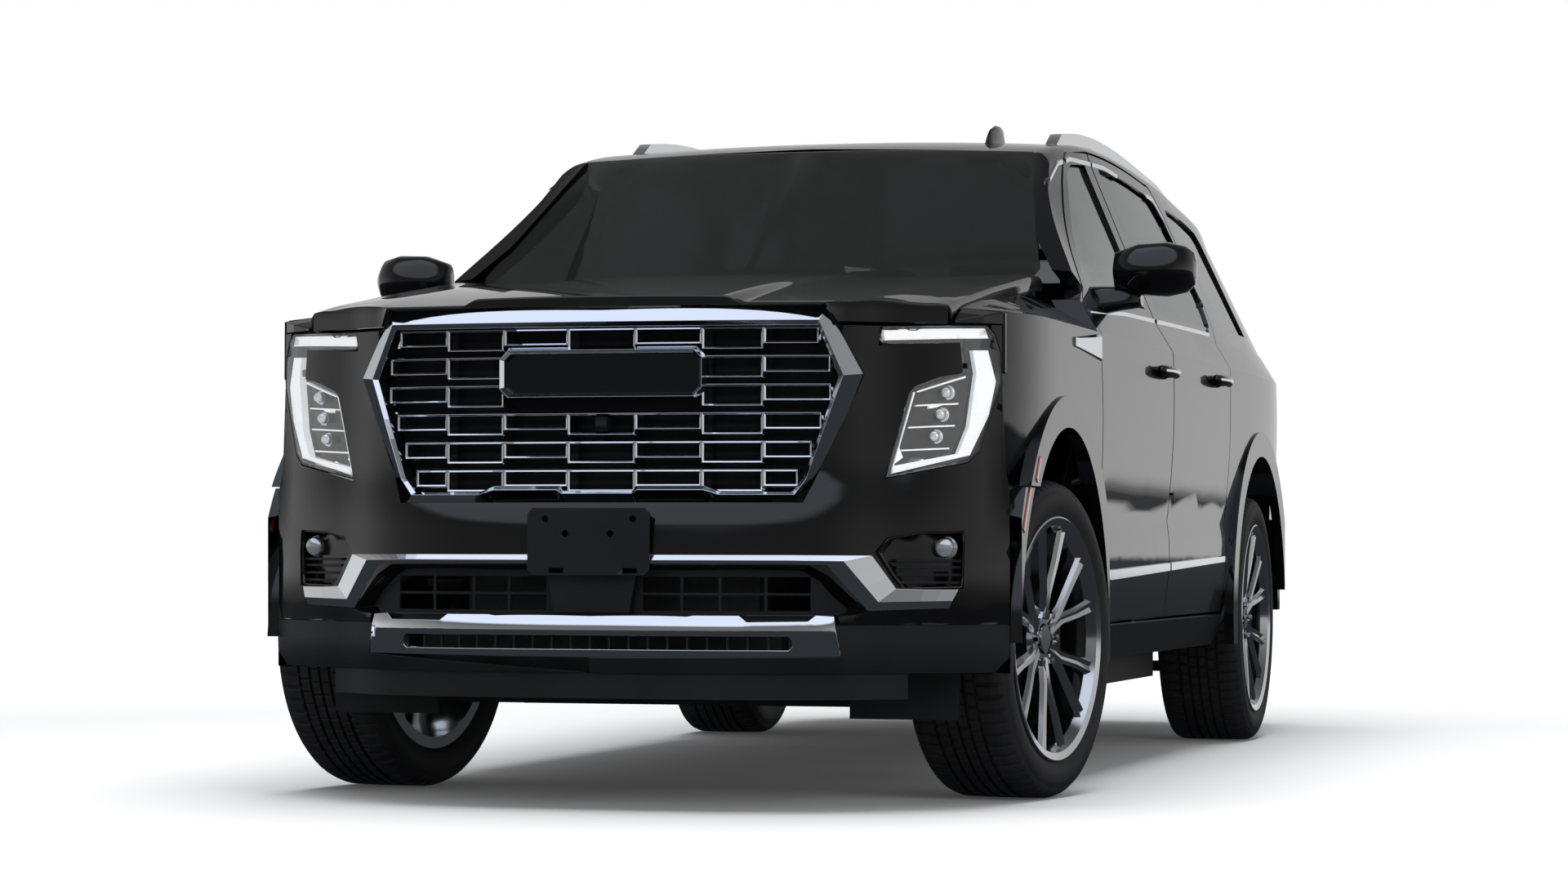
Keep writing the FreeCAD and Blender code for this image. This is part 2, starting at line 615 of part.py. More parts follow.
def make_rear():
    """Liftgate with its glass, rear bumper and tail lamps."""
    corner = prism_z([(0, 4703), [(400, 4698), (650, 4672), (800, 4610)], (860, 4560), (860, 4200), (0, 4200)], 500, 2000)
    window = [(0, 1385), (650, 1385), (560, 1745), (0, 1745)]
    gate = rear_band(0, 70).common(corner).common(liftgate_region(0))
    hole = prism_y(window, 4200, 4800)
    pane = rear_band(8, 13).common(corner).common(hole)
    spoiler = upper_shell.common(block(0, 606, size("roof_end") + 16, 4640, 1700, 2000))
    gate = gate.cut(block(0, 700, 4300, size("roof_end") + 16, 1500, 2000)).fuse(spoiler).cut(hole).cut(gate_hinge()[1])
    node(shaped("liftgate", whole(gate)), "liftgate")
    node(shaped("liftgate_glass", whole(pane)), "liftgate_glass")
    plan = [(0, 4765), [(500, 4757), (700, 4734)], [(830, 4670), (900, 4540)], [(965, 4250), (1000, 3962)]]
    inner = [(950, 3962), [(915, 4250), (850, 4520)], [(790, 4620), (680, 4680)], [(500, 4705), (0, 4713)]]
    bumper = prism_z(plan + inner, 440, 762.7)
    bumper = bumper.cut(block(0, 1100, 3900, 3952.3, 400, 800)).cut(arch(size("wheelbase"), ARCH_R, 0, 1100))
    node(shaped("rear_bumper", whole(bumper)), "rear_bumper")
    lamp = side_shell.common(tail_lamp_region(-0.3))
    node(shaped("tail_lamps", both_sides(lamp)), "tail_lamps")


def make_tyre(name):
    """A low-profile tyre as one turned solid about its axle."""
    r, w, bead = size("tyre_radius"), size("tyre_width") / 2, size("rim_radius")
    seat = size("rim_width") / 2 - 0.3
    half = [(seat, bead), (seat, size("rim_lip_radius") + 2), (w - 4, bead + 36), (w, r - 55), (w - 22, r - 8), (w - 45, r)]
    profile = [V(x, 0, z) for x, z in half] + [V(-x, 0, z) for x, z in reversed(half)]
    return Part.Face(polygon(profile)).revolve(V(0, 0, 0), V(1, 0, 0), 360)


def make_rim():
    """Rim, split spokes, hub and brake disc, outer face towards +X."""
    r, w, lip = size("rim_radius"), size("rim_width") / 2, size("rim_lip_radius")
    barrel = [V(-w, 0, lip), V(-w, 0, r - 0.0), V(w, 0, r), V(w + 8, 0, lip), V(w + 18, 0, lip), V(w + 18, 0, r - 14),
              V(w - 10, 0, r - 22), V(-w - 10, 0, r - 22), V(-w - 10, 0, lip)]
    barrel = Part.Face(polygon(barrel)).revolve(V(0, 0, 0), V(1, 0, 0), 360)
    hub = Part.makeCylinder(size("hub_radius"), 60, V(40, 0, 0), V(1, 0, 0))
    rim = barrel.fuse(hub)
    count = int(size("spoke_count"))
    for index in range(count):
        for lean in (-9, 9):
            spoke = Part.makeBox(38, 34, r - 60, V(72, -17, 50))
            spoke.rotate(V(0, 0, 60), V(1, 0, 0), lean)
            spoke.rotate(V(0, 0, 0), V(1, 0, 0), 360 / count * index)
            rim = rim.fuse(spoke)
    disc = Part.makeCylinder(size("disc_radius"), size("disc_thickness"), V(0, 0, 0), V(1, 0, 0))
    neck = Part.makeCylinder(70, 42, V(0, 0, 0), V(1, 0, 0))
    bore = Part.makeCylinder(size("hub_bore_radius"), 300, V(-100, 0, 0), V(1, 0, 0))
    keep = Part.makeCylinder(r - 4, 400, V(-200, 0, 0), V(1, 0, 0))
    rim = rim.common(keep).fuse(barrel)
    return rim.fuse(disc).fuse(neck).cut(bore)


def steered(shape, side):
    """A front-wheel piece turned about its kingpin to where the wheels rest."""
    turned = shape.copy()
    turned.rotate(V(side * size("kingpin_offset"), FRONT_AXLE, 0), V(0, 0, 1), -size("steer_rest"))
    return turned


def make_wheels():
    tyre = make_tyre("tyre")
    rim = make_rim()
    half_track = size("track") / 2
    for end, y in (("front", FRONT_AXLE), ("rear", REAR_AXLE)):
        for side_name, side in (("left", 1), ("right", -1)):
            for kind, piece in (("tyre", tyre), ("wheel", rim)):
                copy = piece if side == 1 else flip(piece)
                copy = copy.copy()
                copy.translate(V(side * half_track, y, size("tyre_radius")))
                if end == "front":
                    copy = steered(copy, side)
                node(shaped(f"{kind}_{end}_{side_name}", copy), f"{kind}_{end}_{side_name}")


def upright(y, half_shaft=False):
    """Left upright with its spindle, ball joint bosses and brake caliper."""
    half_track, up, king = size("track") / 2, size("tyre_radius"), size("kingpin_offset")
    spindle = Part.makeCylinder(size("hub_bore_radius") - 0.3, 130, V(king, y, up), V(1, 0, 0))
    post = Part.makeBox(50, 80, 260, V(king - 25, y - 40, up - 130))
    bosses = Part.makeCylinder(26, 300, V(king, y, up - 150), V(0, 0, 1))
    lug = Part.makeBox(30, 180, 60, V(king - 10, y, up - 30))
    caliper = Part.makeBox(105, 70, 190, V(half_track - 45, y + 150, up - 95))
    slot = Part.makeCylinder(size("disc_radius") + 8, size("disc_thickness") + 16, V(half_track - 8, y, up), V(1, 0, 0))
    lug = lug.fuse(Part.makeBox(half_track - 45 - king + 15, 60, 60, V(king, y + 155, up - 30)))
    return spindle.fuse([post, bosses, lug, caliper.cut(slot)])


def make_uprights():
    """Steered front uprights and fixed rear ones."""
    front = upright(FRONT_AXLE)
    node(shaped("knuckle_left", steered(front, 1)), "knuckle_left")
    node(shaped("knuckle_right", steered(flip(front), -1)), "knuckle_right")


def make_floor():
    """Floor pan with its firewall and wheel housings."""
    load = size("load_floor_up")
    path = [(452, 1261.7), (452, 640), (640, size("floor_up")), (2840, size("floor_up")), (2900, load), (4560, load),
            (4560, load - 20), (2912, load - 20), (2860, size("floor_up") - 20), (632, size("floor_up") - 20), (432, 632), (432, 1261.7)]
    inner = lower_body(WALL + 0.3)
    pan = prism_x(path, 0, 1100).cut(block(861.7, 1100, 400, 2850, 300, 1400)).common(inner)
    pan = pan.cut(arch(size("wheelbase"), ARCH_R + 5, 690, 1100))
    firewall = prism_x([(452, 1261.7), (452, 640), (432, 632), (432, 1261.7)], 0, 861.7)
    housing = arch(size("wheelbase"), ARCH_R + 10, 690, 1100).cut(arch(size("wheelbase"), ARCH_R + 1, 700, 1100))
    housing = housing.common(block(0, 1100, 2850, 4200, 500, 1200)).common(inner)
    housing = housing.cut(block(680, 720, 3300, 3520, 500, 740))
    node(shaped("floor_pan", whole(pan.fuse([firewall, housing]))), "floor_pan")


def make_cowl():
    """Dark panel under the wipers, between hood and windshield."""
    cowl = prism_x([(330, 1290.3), (330, 1300), (400, 1352), (450, 1374), (476, 1376), (486, 1399.7), (640, 1399.7),
                    (640, 1290.3)], 0, 765)
    cowl = cowl.common(ahead_of_windshield(14)).fuse(block(0, 800, 320, 452, 1262, 1290.3))
    cowl = cowl.fuse(block(765, 800, 330, 432, 1290.3, 1340))
    y, up = station(size("hood_hinge_back")), size("hood_hinge_up")
    s = size("hood_hinge_back")
    post = prism_x([(s - 85, 1336), (s - 62, 1336), (s + 2, up - 8), (s + 8, up), (s + 2, up + 8), (s - 6, up + 6)], 772, 788)
    cowl = cowl.fuse([post, Part.makeCylinder(5, 30, V(780, y, up), V(1, 0, 0))])
    node(shaped("cowl", whole(cowl)), "cowl")


def make_frame():
    """Ladder frame of two kicked-up rails, crossmembers and the tow hitch receiver."""
    low, tall, tail_up = size("rail_up"), size("rail_height"), size("rail_tail_up")
    kick = size("load_floor_up") - 20.3 - tall
    bottom = [(-760, low), (3000, low), (3130, kick), (3690, kick), (3850, tail_up), (4570, tail_up)]
    top = [(s, up + tall) for s, up in bottom]
    middle, half = size("rail_spacing") / 2, size("rail_width") / 2
    rail = shaped("frame_rail", prism_x(bottom + top[::-1], middle - half, middle + half))
    pieces = [rail, mirrored("frame_rail_twin", rail)]
    y0 = "front_overhang - overall_length / 2"
    for index, (s, up) in enumerate(((-760, "rail_up"), (420, "rail_up"), (1500, "rail_up"), (2500, "rail_up"),
                                     (3590, "load_floor_up - rail_height + 50"), (4490, "rail_tail_up"))):
        pieces.append(box(f"crossmember_{index}", ("-rail_spacing / 2", "rail_spacing / 2"),
                          (f"{y0} + {s}", f"{y0} + {s + 70}"), (f"{up} + 8", f"{up} + 52")))
    pieces.append(box("front_beam", ("-470", "470"), (f"{y0} - 845", f"{y0} - 790"), ("rail_up + 16", "rail_up + 110")))
    pieces.append(box("beam_bracket_left", ("rail_spacing / 2 - 30", "rail_spacing / 2 + 30"), (f"{y0} - 800", f"{y0} - 755"),
                      ("rail_up + 20", "rail_up + 100")))
    pieces.append(box("beam_bracket_right", ("-rail_spacing / 2 - 30", "-rail_spacing / 2 + 30"), (f"{y0} - 800", f"{y0} - 755"),
                      ("rail_up + 20", "rail_up + 100")))
    back = f"{y0} + 4500"
    receiver = box("receiver_outer", ("-hitch_bore / 2 - 6", "hitch_bore / 2 + 6"), (back, f"{back} + 200"),
                   ("rail_tail_up + 10", "rail_tail_up + 22 + hitch_bore"))
    hollow = box("receiver_bore", ("-hitch_bore / 2", "hitch_bore / 2"), (f"{back} + 75", f"{back} + 201"),
                 ("rail_tail_up + 16", "rail_tail_up + 16 + hitch_bore"))
    frame = fuse("frame_solid", pieces + [receiver])
    node(cut("ladder_frame", frame, hollow), "ladder_frame")


def make_running_gear():
    """Engine block, gearbox, shafts, exhaust, tank and spare wheel."""
    y0 = "front_overhang - overall_length / 2"
    node(box("engine_block", ("-300", "300"), (f"{y0} - 330", f"{y0} + 300"), ("470", "1130")), "engine_block")
    gearbox = box("gearbox", ("-170", "170"), (f"{y0} + 300.3", f"{y0} + 1300"), ("rail_up + 52.3", "floor_up - 22"))
    shaft = rod("propeller_shaft", "42", "wheelbase - 1300 - 150.3", "0", f"{y0} + 1300", "rail_up + 96", V(0, 1, 0))
    node(fuse("driveline", [gearbox, shaft]), "driveline")
    node(box("fuel_tank", ("500", "780"), (f"{y0} + 1650", f"{y0} + 2650"), ("240", "floor_up - 20.3")), "fuel_tank")
    pipe = rod("exhaust_pipe", "38", "1500", "-560", f"{y0} + 700", "300", V(0, 1, 0))
    muffler = rod("muffler", "110", "800", "-620", f"{y0} + 1900", "310", V(0, 1, 0))
    hanger = box("exhaust_hanger", ("-640", "-600"), (f"{y0} + 2200", f"{y0} + 2240"), ("400", "floor_up - 20.3"))
    node(fuse("exhaust_system", [pipe, muffler, hanger]), "exhaust_system")
    spare = rod("spare_tyre", "375", "200", "0", f"{y0} + 4080", "rail_up - 60")
    winch = rod("spare_winch", "30", "load_floor_up - 20.3 - rail_up", "0", f"{y0} + 4080", "rail_up")
    node(fuse("spare_wheel", [spare, winch]), "spare_wheel")
    node(box("cooling_module", ("-385", "385"), (f"{y0} - 740", f"{y0} - 660"), ("rail_up + 52.3", "1180")), "cooling_module")


def make_suspension():
    """Subframes, lower and upper arms, dampers and the rear axle."""
    y0 = "front_overhang - overall_length / 2"
    for end, middle in (("front", y0), ("rear", f"{y0} + wheelbase")):
        pieces = [box(f"{end}_subframe", ("-470", "470"), (f"{middle} - 60", f"{middle} + 60"),
                      ("tyre_radius - 185", "rail_up - 0.3"))]
        for side in (-1, 1):
            low, high = ("-830", "-469") if side < 0 else ("469", "830")
            pieces.append(box(f"{end}_lower_arm_{side}", (low, high), (f"{middle} - 45", f"{middle} + 45"),
                              ("tyre_radius - 185", "tyre_radius - 150.3")))
            low, high = ("-830", "-350") if side < 0 else ("350", "830")
            pieces.append(box(f"{end}_upper_arm_{side}", (low, high), (f"{middle} - 30", f"{middle} + 30"),
                              ("tyre_radius + 150.3", "tyre_radius + 174")))
            reach, crown = ("389.7", "tyre_radius + 174") if end == "front" else ("470", "load_floor_up - rail_height - 20.6")
            low, high = (f"-{reach}", "-340") if side < 0 else ("340", reach)
            pieces.append(box(f"{end}_tower_{side}", (low, high), (f"{middle} - 40", f"{middle} + 40"), ("rail_up - 5", crown)))
            pieces.append(rod(f"{end}_damper_{side}", "48", "240", f"{side} * 590", middle, "tyre_radius - 151"))
        if end == "rear":
            pieces.append(box("differential", ("-150", "150"), (f"{middle} - 150", f"{middle} + 130"),
                              ("tyre_radius - 130", "tyre_radius + 100")))
            pieces.append(rod("half_shafts", "24", "1560", "-780", middle, "tyre_radius", V(1, 0, 0)))
            pieces.append(shaped("rear_upright_left", upright(REAR_AXLE)))
            pieces.append(shaped("rear_upright_right", flip(upright(REAR_AXLE))))
        node(fuse(f"{end}_suspension", pieces), f"{end}_suspension")


def make_cabin():
    """Dashboard, steering wheel and three rows of seats."""
    dash = prism_x([(452.3, 1240), [(640, 1262), (800, 1250)], (900, 1180), (905, 1020), (820, 900), (800, 760), (452.3, 760)],
                   -860, 860)
    node(shaped("dashboard", dash), "dashboard")
    ring = Part.makeTorus(185, 17, V(0, 0, 0), V(0, 0, 1))
    boss = Part.makeCylinder(60, 50, V(0, 0, -34), V(0, 0, 1))
    column = Part.makeCylinder(24, 130.1, V(0, 0, -160.1), V(0, 0, 1))
    spokes = [Part.makeBox(150, 30, 16, V(25, -15, -14)), Part.makeBox(150, 30, 16, V(-175, -15, -14)),
              Part.makeBox(30, 150, 16, V(-15, -175, -14))]
    wheel = ring.fuse([boss, column] + spokes)
    wheel.rotate(V(0, 0, 0), V(1, 0, 0), -(90 - 25))
    wheel.translate(V(400, station(1060), 1085))
    node(shaped("steering_wheel", wheel), "steering_wheel")
    seats = []
    rows = ((1180, 400, 265, size("floor_up"), 880), (2080, 400, 265, size("floor_up"), 880),
            (2950, 0, 640, size("load_floor_up"), 740))
    for s, centre, half, base, rise in rows:
        for middle in ((-centre, centre) if centre else (0,)):
            cushion = block(middle - half, middle + half, s, s + 520, base + 110, base + 290)
            foot = block(middle - half + 60, middle + half - 60, s + 60, s + 460, base + 0.3, base + 110)
            rest = prism_x([(s + 470, base + 250), (s + 590, base + 250), (s + 760, base + rise - 10), (s + 660, base + rise)],
                           middle - half, middle + half)
            solid = cushion.fuse([foot, rest])
            for head in (middle,) if centre else (-380, 380):
                solid = solid.fuse(prism_x([(s + 662, base + rise - 20), (s + 755, base + rise - 20), (s + 785, base + rise + 160),
                                            (s + 700, base + rise + 170)], head - 130, head + 130))
            seats.append(solid)
    node(shaped("seats", Part.makeCompound(seats)), "seats")


def make_outside_fittings():
    """Mirrors, roof rails, aerial fin, rocker mouldings and wipers."""
    head = prism_z([(1010, 740), [(1100, 716), (1190, 730), (1222, 790)], [(1225, 840), (1200, 862)], (1010, 850)], 1368, 1520)
    neck = block(940, 1060, 752, 842, 1318, 1385)
    mirror = head.fuse(neck).cut(upper_body(0)).cut(lower_outer)
    node(shaped("mirror_left", mirror), "mirror_left")
    node(shaped("mirror_right", flip(mirror)), "mirror_right")
    rail = prism_x([(1560, 1885), (1640, 1925), [(2100, 1960), (2700, 1950), (3300, 1916)], (3560, 1880), (3540, 1845), (3300, 1880),
                    (2100, 1925), (1640, 1900)], 640, 676)
    rail = rail.cut(upper_body(0))
    node(shaped("roof_rails", both_sides(rail)), "roof_rails")
    fin = prism_x([(1450, 1850), (1450, 1908), [(1520, 1935), (1600, 1958)], (1640, 1958), (1650, 1850)], 462, 502).cut(upper_body(0))
    node(shaped("aerial_fin", fin), "aerial_fin")
    sill = lower_body(-10).cut(lower_body(0)).common(block(870, 1100, 620, 2740, SILL, 440))
    node(shaped("rocker_mouldings", both_sides(sill)), "rocker_mouldings")


make_doors()
make_body_side()
make_roof()
make_quarter_glass()
make_fenders()
make_hood()
make_front()
make_rear()
make_windshield()
make_wheels()
make_uprights()
make_floor()
make_cowl()
make_frame()
make_running_gear()
make_suspension()
make_cabin()
make_outside_fittings()

doc.recompute()
os.makedirs("parts", exist_ok=True)
for thing in doc.Objects:
    if "Invalid" in thing.State or "Error" in thing.State:
        raise RuntimeError(f"{thing.Label} failed: {thing.State}")
for label, thing in nodes:
    shape = thing.Shape
    if shape.isNull() or not shape.isValid():
        raise RuntimeError(f"{label} has no valid shape")
    shape.exportStep(f"parts/{label}.step")
    print(f"{label:24s} solids {len(shape.Solids):2d}  volume {shape.Volume / 1e6:10.2f} litres")
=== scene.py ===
import bpy
import bmesh
import json
import math
import numpy as np
from contextlib import contextmanager
from mathutils import Matrix, Vector
from mathutils.bvhtree import BVHTree
from mathutils.geometry import delaunay_2d_cdt


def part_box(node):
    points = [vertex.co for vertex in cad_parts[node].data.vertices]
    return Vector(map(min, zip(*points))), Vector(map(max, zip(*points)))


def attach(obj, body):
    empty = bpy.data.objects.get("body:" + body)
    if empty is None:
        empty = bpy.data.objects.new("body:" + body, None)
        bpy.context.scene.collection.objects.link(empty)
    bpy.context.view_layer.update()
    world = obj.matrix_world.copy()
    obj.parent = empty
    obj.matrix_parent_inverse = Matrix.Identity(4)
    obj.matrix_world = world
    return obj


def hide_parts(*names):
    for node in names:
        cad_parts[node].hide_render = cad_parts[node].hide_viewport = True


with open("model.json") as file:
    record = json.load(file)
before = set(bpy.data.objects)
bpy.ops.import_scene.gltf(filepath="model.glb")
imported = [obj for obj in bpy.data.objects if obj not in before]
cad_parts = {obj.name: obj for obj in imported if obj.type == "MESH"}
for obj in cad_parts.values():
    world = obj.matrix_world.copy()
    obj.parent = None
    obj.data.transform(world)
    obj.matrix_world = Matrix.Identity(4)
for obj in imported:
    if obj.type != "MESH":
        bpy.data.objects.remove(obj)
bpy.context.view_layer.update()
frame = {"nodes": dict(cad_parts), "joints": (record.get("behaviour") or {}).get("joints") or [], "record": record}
scene = bpy.context.scene
scene.view_settings.view_transform = "Standard"

# Camera
# A long lens at knee height, 14 m in front of the front axle and a little to the vehicle's left.
# It stands where the photographer's did: the wheels, lamps and roof line up with the photo's.
camera_data = bpy.data.cameras.new("camera")
camera_data.lens, camera_data.sensor_width = 92.53, 36.0
camera_data.clip_end = 200
camera = bpy.data.objects.new("camera", camera_data)
turn, pitch, roll = math.radians(15.264), math.radians(1.528), math.radians(0.14)
ahead = Vector((-math.sin(turn) * math.cos(pitch), math.cos(turn) * math.cos(pitch), math.sin(pitch)))
level = Vector((math.cos(turn), math.sin(turn), 0))
upright = level.cross(ahead)
right = level * math.cos(roll) + upright * math.sin(roll)
up = upright * math.cos(roll) - level * math.sin(roll)
camera_turn = Matrix((right, up, -ahead)).transposed().to_4x4()
camera.matrix_world = Matrix.Translation((3.099, -12.364, 0.655)) @ camera_turn
scene.collection.objects.link(camera)
scene.camera = camera


# Studio
# A white painted floor that runs to a white surround, lit by wide soft lamps overhead, as in a car studio.
# Round it hang the grey cloths and the one bright canopy that only the paint, chrome and glass mirror.
def linear(text):
    """sRGB hex colour to linear red, green, blue and alpha."""
    parts = [int(text[i:i + 2], 16) / 255 for i in (1, 3, 5)]
    return tuple(c / 12.92 if c <= 0.04045 else ((c + 0.055) / 1.055) ** 2.4 for c in parts) + (1.0,)


def cleared(made):
    """Turns on the nodes of a material or a world, and returns them as an empty tree."""
    made.use_nodes = True
    made.node_tree.nodes.clear()
    return made.node_tree


def add(tree, kind, sockets=(), **settings):
    """One shader node with its settings, and its sockets set to numbers or linked from other sockets."""
    made = tree.nodes.new(kind)
    for name, value in settings.items():
        setattr(made, name, value)
    for name, value in dict(sockets).items():
        if isinstance(value, bpy.types.NodeSocket):
            tree.links.new(value, made.inputs[name])
        else:
            made.inputs[name].default_value = value
    return made


def seen_by_eye(tree):
    """1 for rays straight from the camera, through glass or off a mirror, 0 for those that only light."""
    ray = add(tree, "ShaderNodeLightPath").outputs
    seen = ray["Is Camera Ray"]
    for kind in ("Is Transmission Ray", "Is Glossy Ray"):
        seen = add(tree, "ShaderNodeMath", {0: seen, 1: ray[kind]}, operation="MAXIMUM").outputs[0]
    return seen


def skin(name, points, faces, finish):
    """A mesh object from an array of points and an array or list of faces, shaded smooth."""
    mesh = bpy.data.meshes.new(name)
    mesh.from_pydata(np.asarray(points).reshape(-1, 3), [], faces)
    mesh.polygons.foreach_set("use_smooth", np.ones(len(mesh.polygons), bool))
    mesh.materials.append(finish)
    made = bpy.data.objects.new(name, mesh)
    scene.collection.objects.link(made)
    return made


def weave(rows, columns, ring_rows=False, ring_columns=False):
    """Four-cornered faces over a grid of points, row by row; a ring joins its last line to its first."""
    i = np.arange(rows if ring_rows else rows - 1)[:, None]
    j = np.arange(columns if ring_columns else columns - 1)[None, :]
    i, j = np.broadcast_arrays(i, j)
    near, far, next_j = i * columns, (i + 1) % rows * columns, (j + 1) % columns
    return np.stack([near + j, far + j, far + next_j, near + next_j], -1).reshape(-1, 4)


world = bpy.data.worlds.new("studio_surround")
scene.world = world
tree = cleared(world)
plain = add(tree, "ShaderNodeBackground", {"Color": linear("#f4f6fa"), "Strength": 0.34})
white = add(tree, "ShaderNodeBackground", {"Color": (1, 1, 1, 1), "Strength": 1.0})
both = add(tree, "ShaderNodeMixShader", {0: seen_by_eye(tree), 1: plain.outputs[0], 2: white.outputs[0]})
add(tree, "ShaderNodeOutputWorld", {"Surface": both.outputs[0]})

# The floor glows more the further out it lies, so that its edge is lost in the surround.
floor_paint = bpy.data.materials.new("white_floor_paint")
tree = cleared(floor_paint)
paint = add(tree, "ShaderNodeBsdfDiffuse", {"Color": linear("#f6f6f6")})
place = add(tree, "ShaderNodeTexCoord").outputs["Object"]
away = add(tree, "ShaderNodeVectorMath", {0: place}, operation="LENGTH")
rise = add(tree, "ShaderNodeMapRange", {"Value": away.outputs["Value"], "From Min": 3.0, "From Max": 9.0,
                                        "To Min": 0.04, "To Max": 0.8}, interpolation_type="SMOOTHSTEP")
lit = add(tree, "ShaderNodeEmission", {"Color": (1, 1, 1, 1), "Strength": rise.outputs["Result"]})
bright = add(tree, "ShaderNodeAddShader", {0: paint.outputs[0], 1: lit.outputs[0]})
shown = add(tree, "ShaderNodeMixShader", {0: seen_by_eye(tree), 1: paint.outputs[0], 2: bright.outputs[0]})
add(tree, "ShaderNodeOutputMaterial", {"Surface": shown.outputs[0]})
floor_corners = [(-60, -60, -0.0005), (60, -60, -0.0005), (60, 60, -0.0005), (-60, 60, -0.0005)]
floor = skin("studio_floor", floor_corners, [(0, 1, 2, 3)], floor_paint)

# Grey cloths on a 40 m ring, palest at eye level behind the car, and dark cloth over the floor beyond it.
tent_radius = 40.0
tent_cloth = bpy.data.materials.new("grey_studio_cloth")
tree = cleared(tent_cloth)
place = add(tree, "ShaderNodeTexCoord").outputs["Object"]
parts = add(tree, "ShaderNodeSeparateXYZ", {0: place})
height = add(tree, "ShaderNodeMath", {0: parts.outputs["Z"], 1: tent_radius}, operation="DIVIDE")
ramp = add(tree, "ShaderNodeValToRGB", {"Fac": height.outputs[0]})
for stop, grey in ((0.002, 0.12), (0.009, 0.74), (0.16, 0.6), (0.34, 0.36), (0.6, 0.16), (0.85, 0.07)):
    ramp.color_ramp.elements.new(stop).color = (grey, grey, grey, 1)
ramp.color_ramp.elements[0].color = (0.08, 0.08, 0.09, 1)
ramp.color_ramp.elements[-1].color = (0.06, 0.06, 0.06, 1)
glow = add(tree, "ShaderNodeMapRange", {"Value": parts.outputs["Y"], "From Min": -38.0, "From Max": -4.0,
                                        "To Min": 0.26, "To Max": 1.0}, interpolation_type="SMOOTHSTEP")
cloth = add(tree, "ShaderNodeEmission", {"Color": ramp.outputs["Color"], "Strength": glow.outputs["Result"]})
# The canopy is a round of the tent 60 degrees up in front, found by the cosine of the angle to its middle.
canopy_way = (0, -0.5 / tent_radius, 0.866 / tent_radius)
toward = add(tree, "ShaderNodeVectorMath", {0: place, 1: canopy_way}, operation="DOT_PRODUCT")
canopy = add(tree, "ShaderNodeMapRange", {"Value": toward.outputs["Value"], "From Min": 0.66,
                                          "From Max": 0.76, "To Min": 0.0, "To Max": 1.0},
             interpolation_type="SMOOTHSTEP")
silk = add(tree, "ShaderNodeEmission", {"Color": linear("#e2ecff"), "Strength": canopy.outputs["Result"]})
hung = add(tree, "ShaderNodeAddShader", {0: cloth.outputs[0], 1: silk.outputs[0]})
add(tree, "ShaderNodeOutputMaterial", {"Surface": hung.outputs[0]})
dark_cloth = bpy.data.materials.new("dark_floor_cloth")
tree = cleared(dark_cloth)
weft = add(tree, "ShaderNodeEmission", {"Color": linear("#c4ccda"), "Strength": 0.055})
add(tree, "ShaderNodeOutputMaterial", {"Surface": weft.outputs[0]})

# The tent is a half ball: a ring of points at each height angle, each ring as wide as that angle's cosine.
lift, around = np.meshgrid(np.linspace(0, np.pi / 2, 25), np.linspace(0, 2 * np.pi, 73)[:-1], indexing="ij")
ball = np.stack([np.cos(lift) * np.cos(around), np.cos(lift) * np.sin(around), np.sin(lift)], -1)
# The floor cloth is a flat ring of the same points, from the tent's foot in to a point under the car.
reach = np.linspace(1.0, 0.001, 8)[:, None] * tent_radius
disc = np.stack([reach * np.cos(around[:1]), reach * np.sin(around[:1]), np.full((8, 72), 0.001)], -1)
for name, points, finish in (("studio_tent", tent_radius * ball, tent_cloth),
                             ("studio_floor_cloth", disc, dark_cloth)):
    hanging = skin(name, points, weave(len(points), 72, ring_columns=True), finish)
    hanging.visible_camera = hanging.visible_diffuse = False
    hanging.visible_transmission = hanging.visible_shadow = False
    finish.cycles.emission_sampling = "NONE"


def soft_box(name, width, length, place, aim, power):
    """A rectangular area lamp aimed at a point; the cloths, not the lamp, show in the paint."""
    data = bpy.data.lights.new(name, "AREA")
    data.shape, data.size, data.size_y, data.energy = "RECTANGLE", width, length, power
    lamp = bpy.data.objects.new(name, data)
    lamp_turn = (Vector(aim) - Vector(place)).to_track_quat("-Z", "Y").to_matrix().to_4x4()
    lamp.matrix_world = Matrix.Translation(place) @ lamp_turn
    lamp.visible_glossy = False
    scene.collection.objects.link(lamp)


soft_box("overhead_soft_box", 6.0, 10.0, (0, -0.5, 6.5), (0, 0, 0), 620)
soft_box("front_left_soft_box", 4.0, 3.0, (6.5, -8.5, 3.5), (0, -1.5, 0.8), 150)


# Chassis
# A welded ladder frame with arms, tank and exhaust, dipped in dull black underbody wax.
# The engine and the knuckles are grey iron castings, rough from the sand mould.
body_of = {node: body for body, nodes in frame["record"]["behaviour"]["bodies"].items() for node in nodes}


def material(name, **sockets):
    """A surface material: sockets by name, an underscore for each space, and colours as hex text."""
    made = bpy.data.materials.new(name)
    tree = cleared(made)
    shader = add(tree, "ShaderNodeBsdfPrincipled")
    add(tree, "ShaderNodeOutputMaterial", {"Surface": shader.outputs[0]})
    for socket, value in sockets.items():
        value = linear(value) if isinstance(value, str) else value
        shader.inputs[socket.replace("_", " ")].default_value = value
    return made


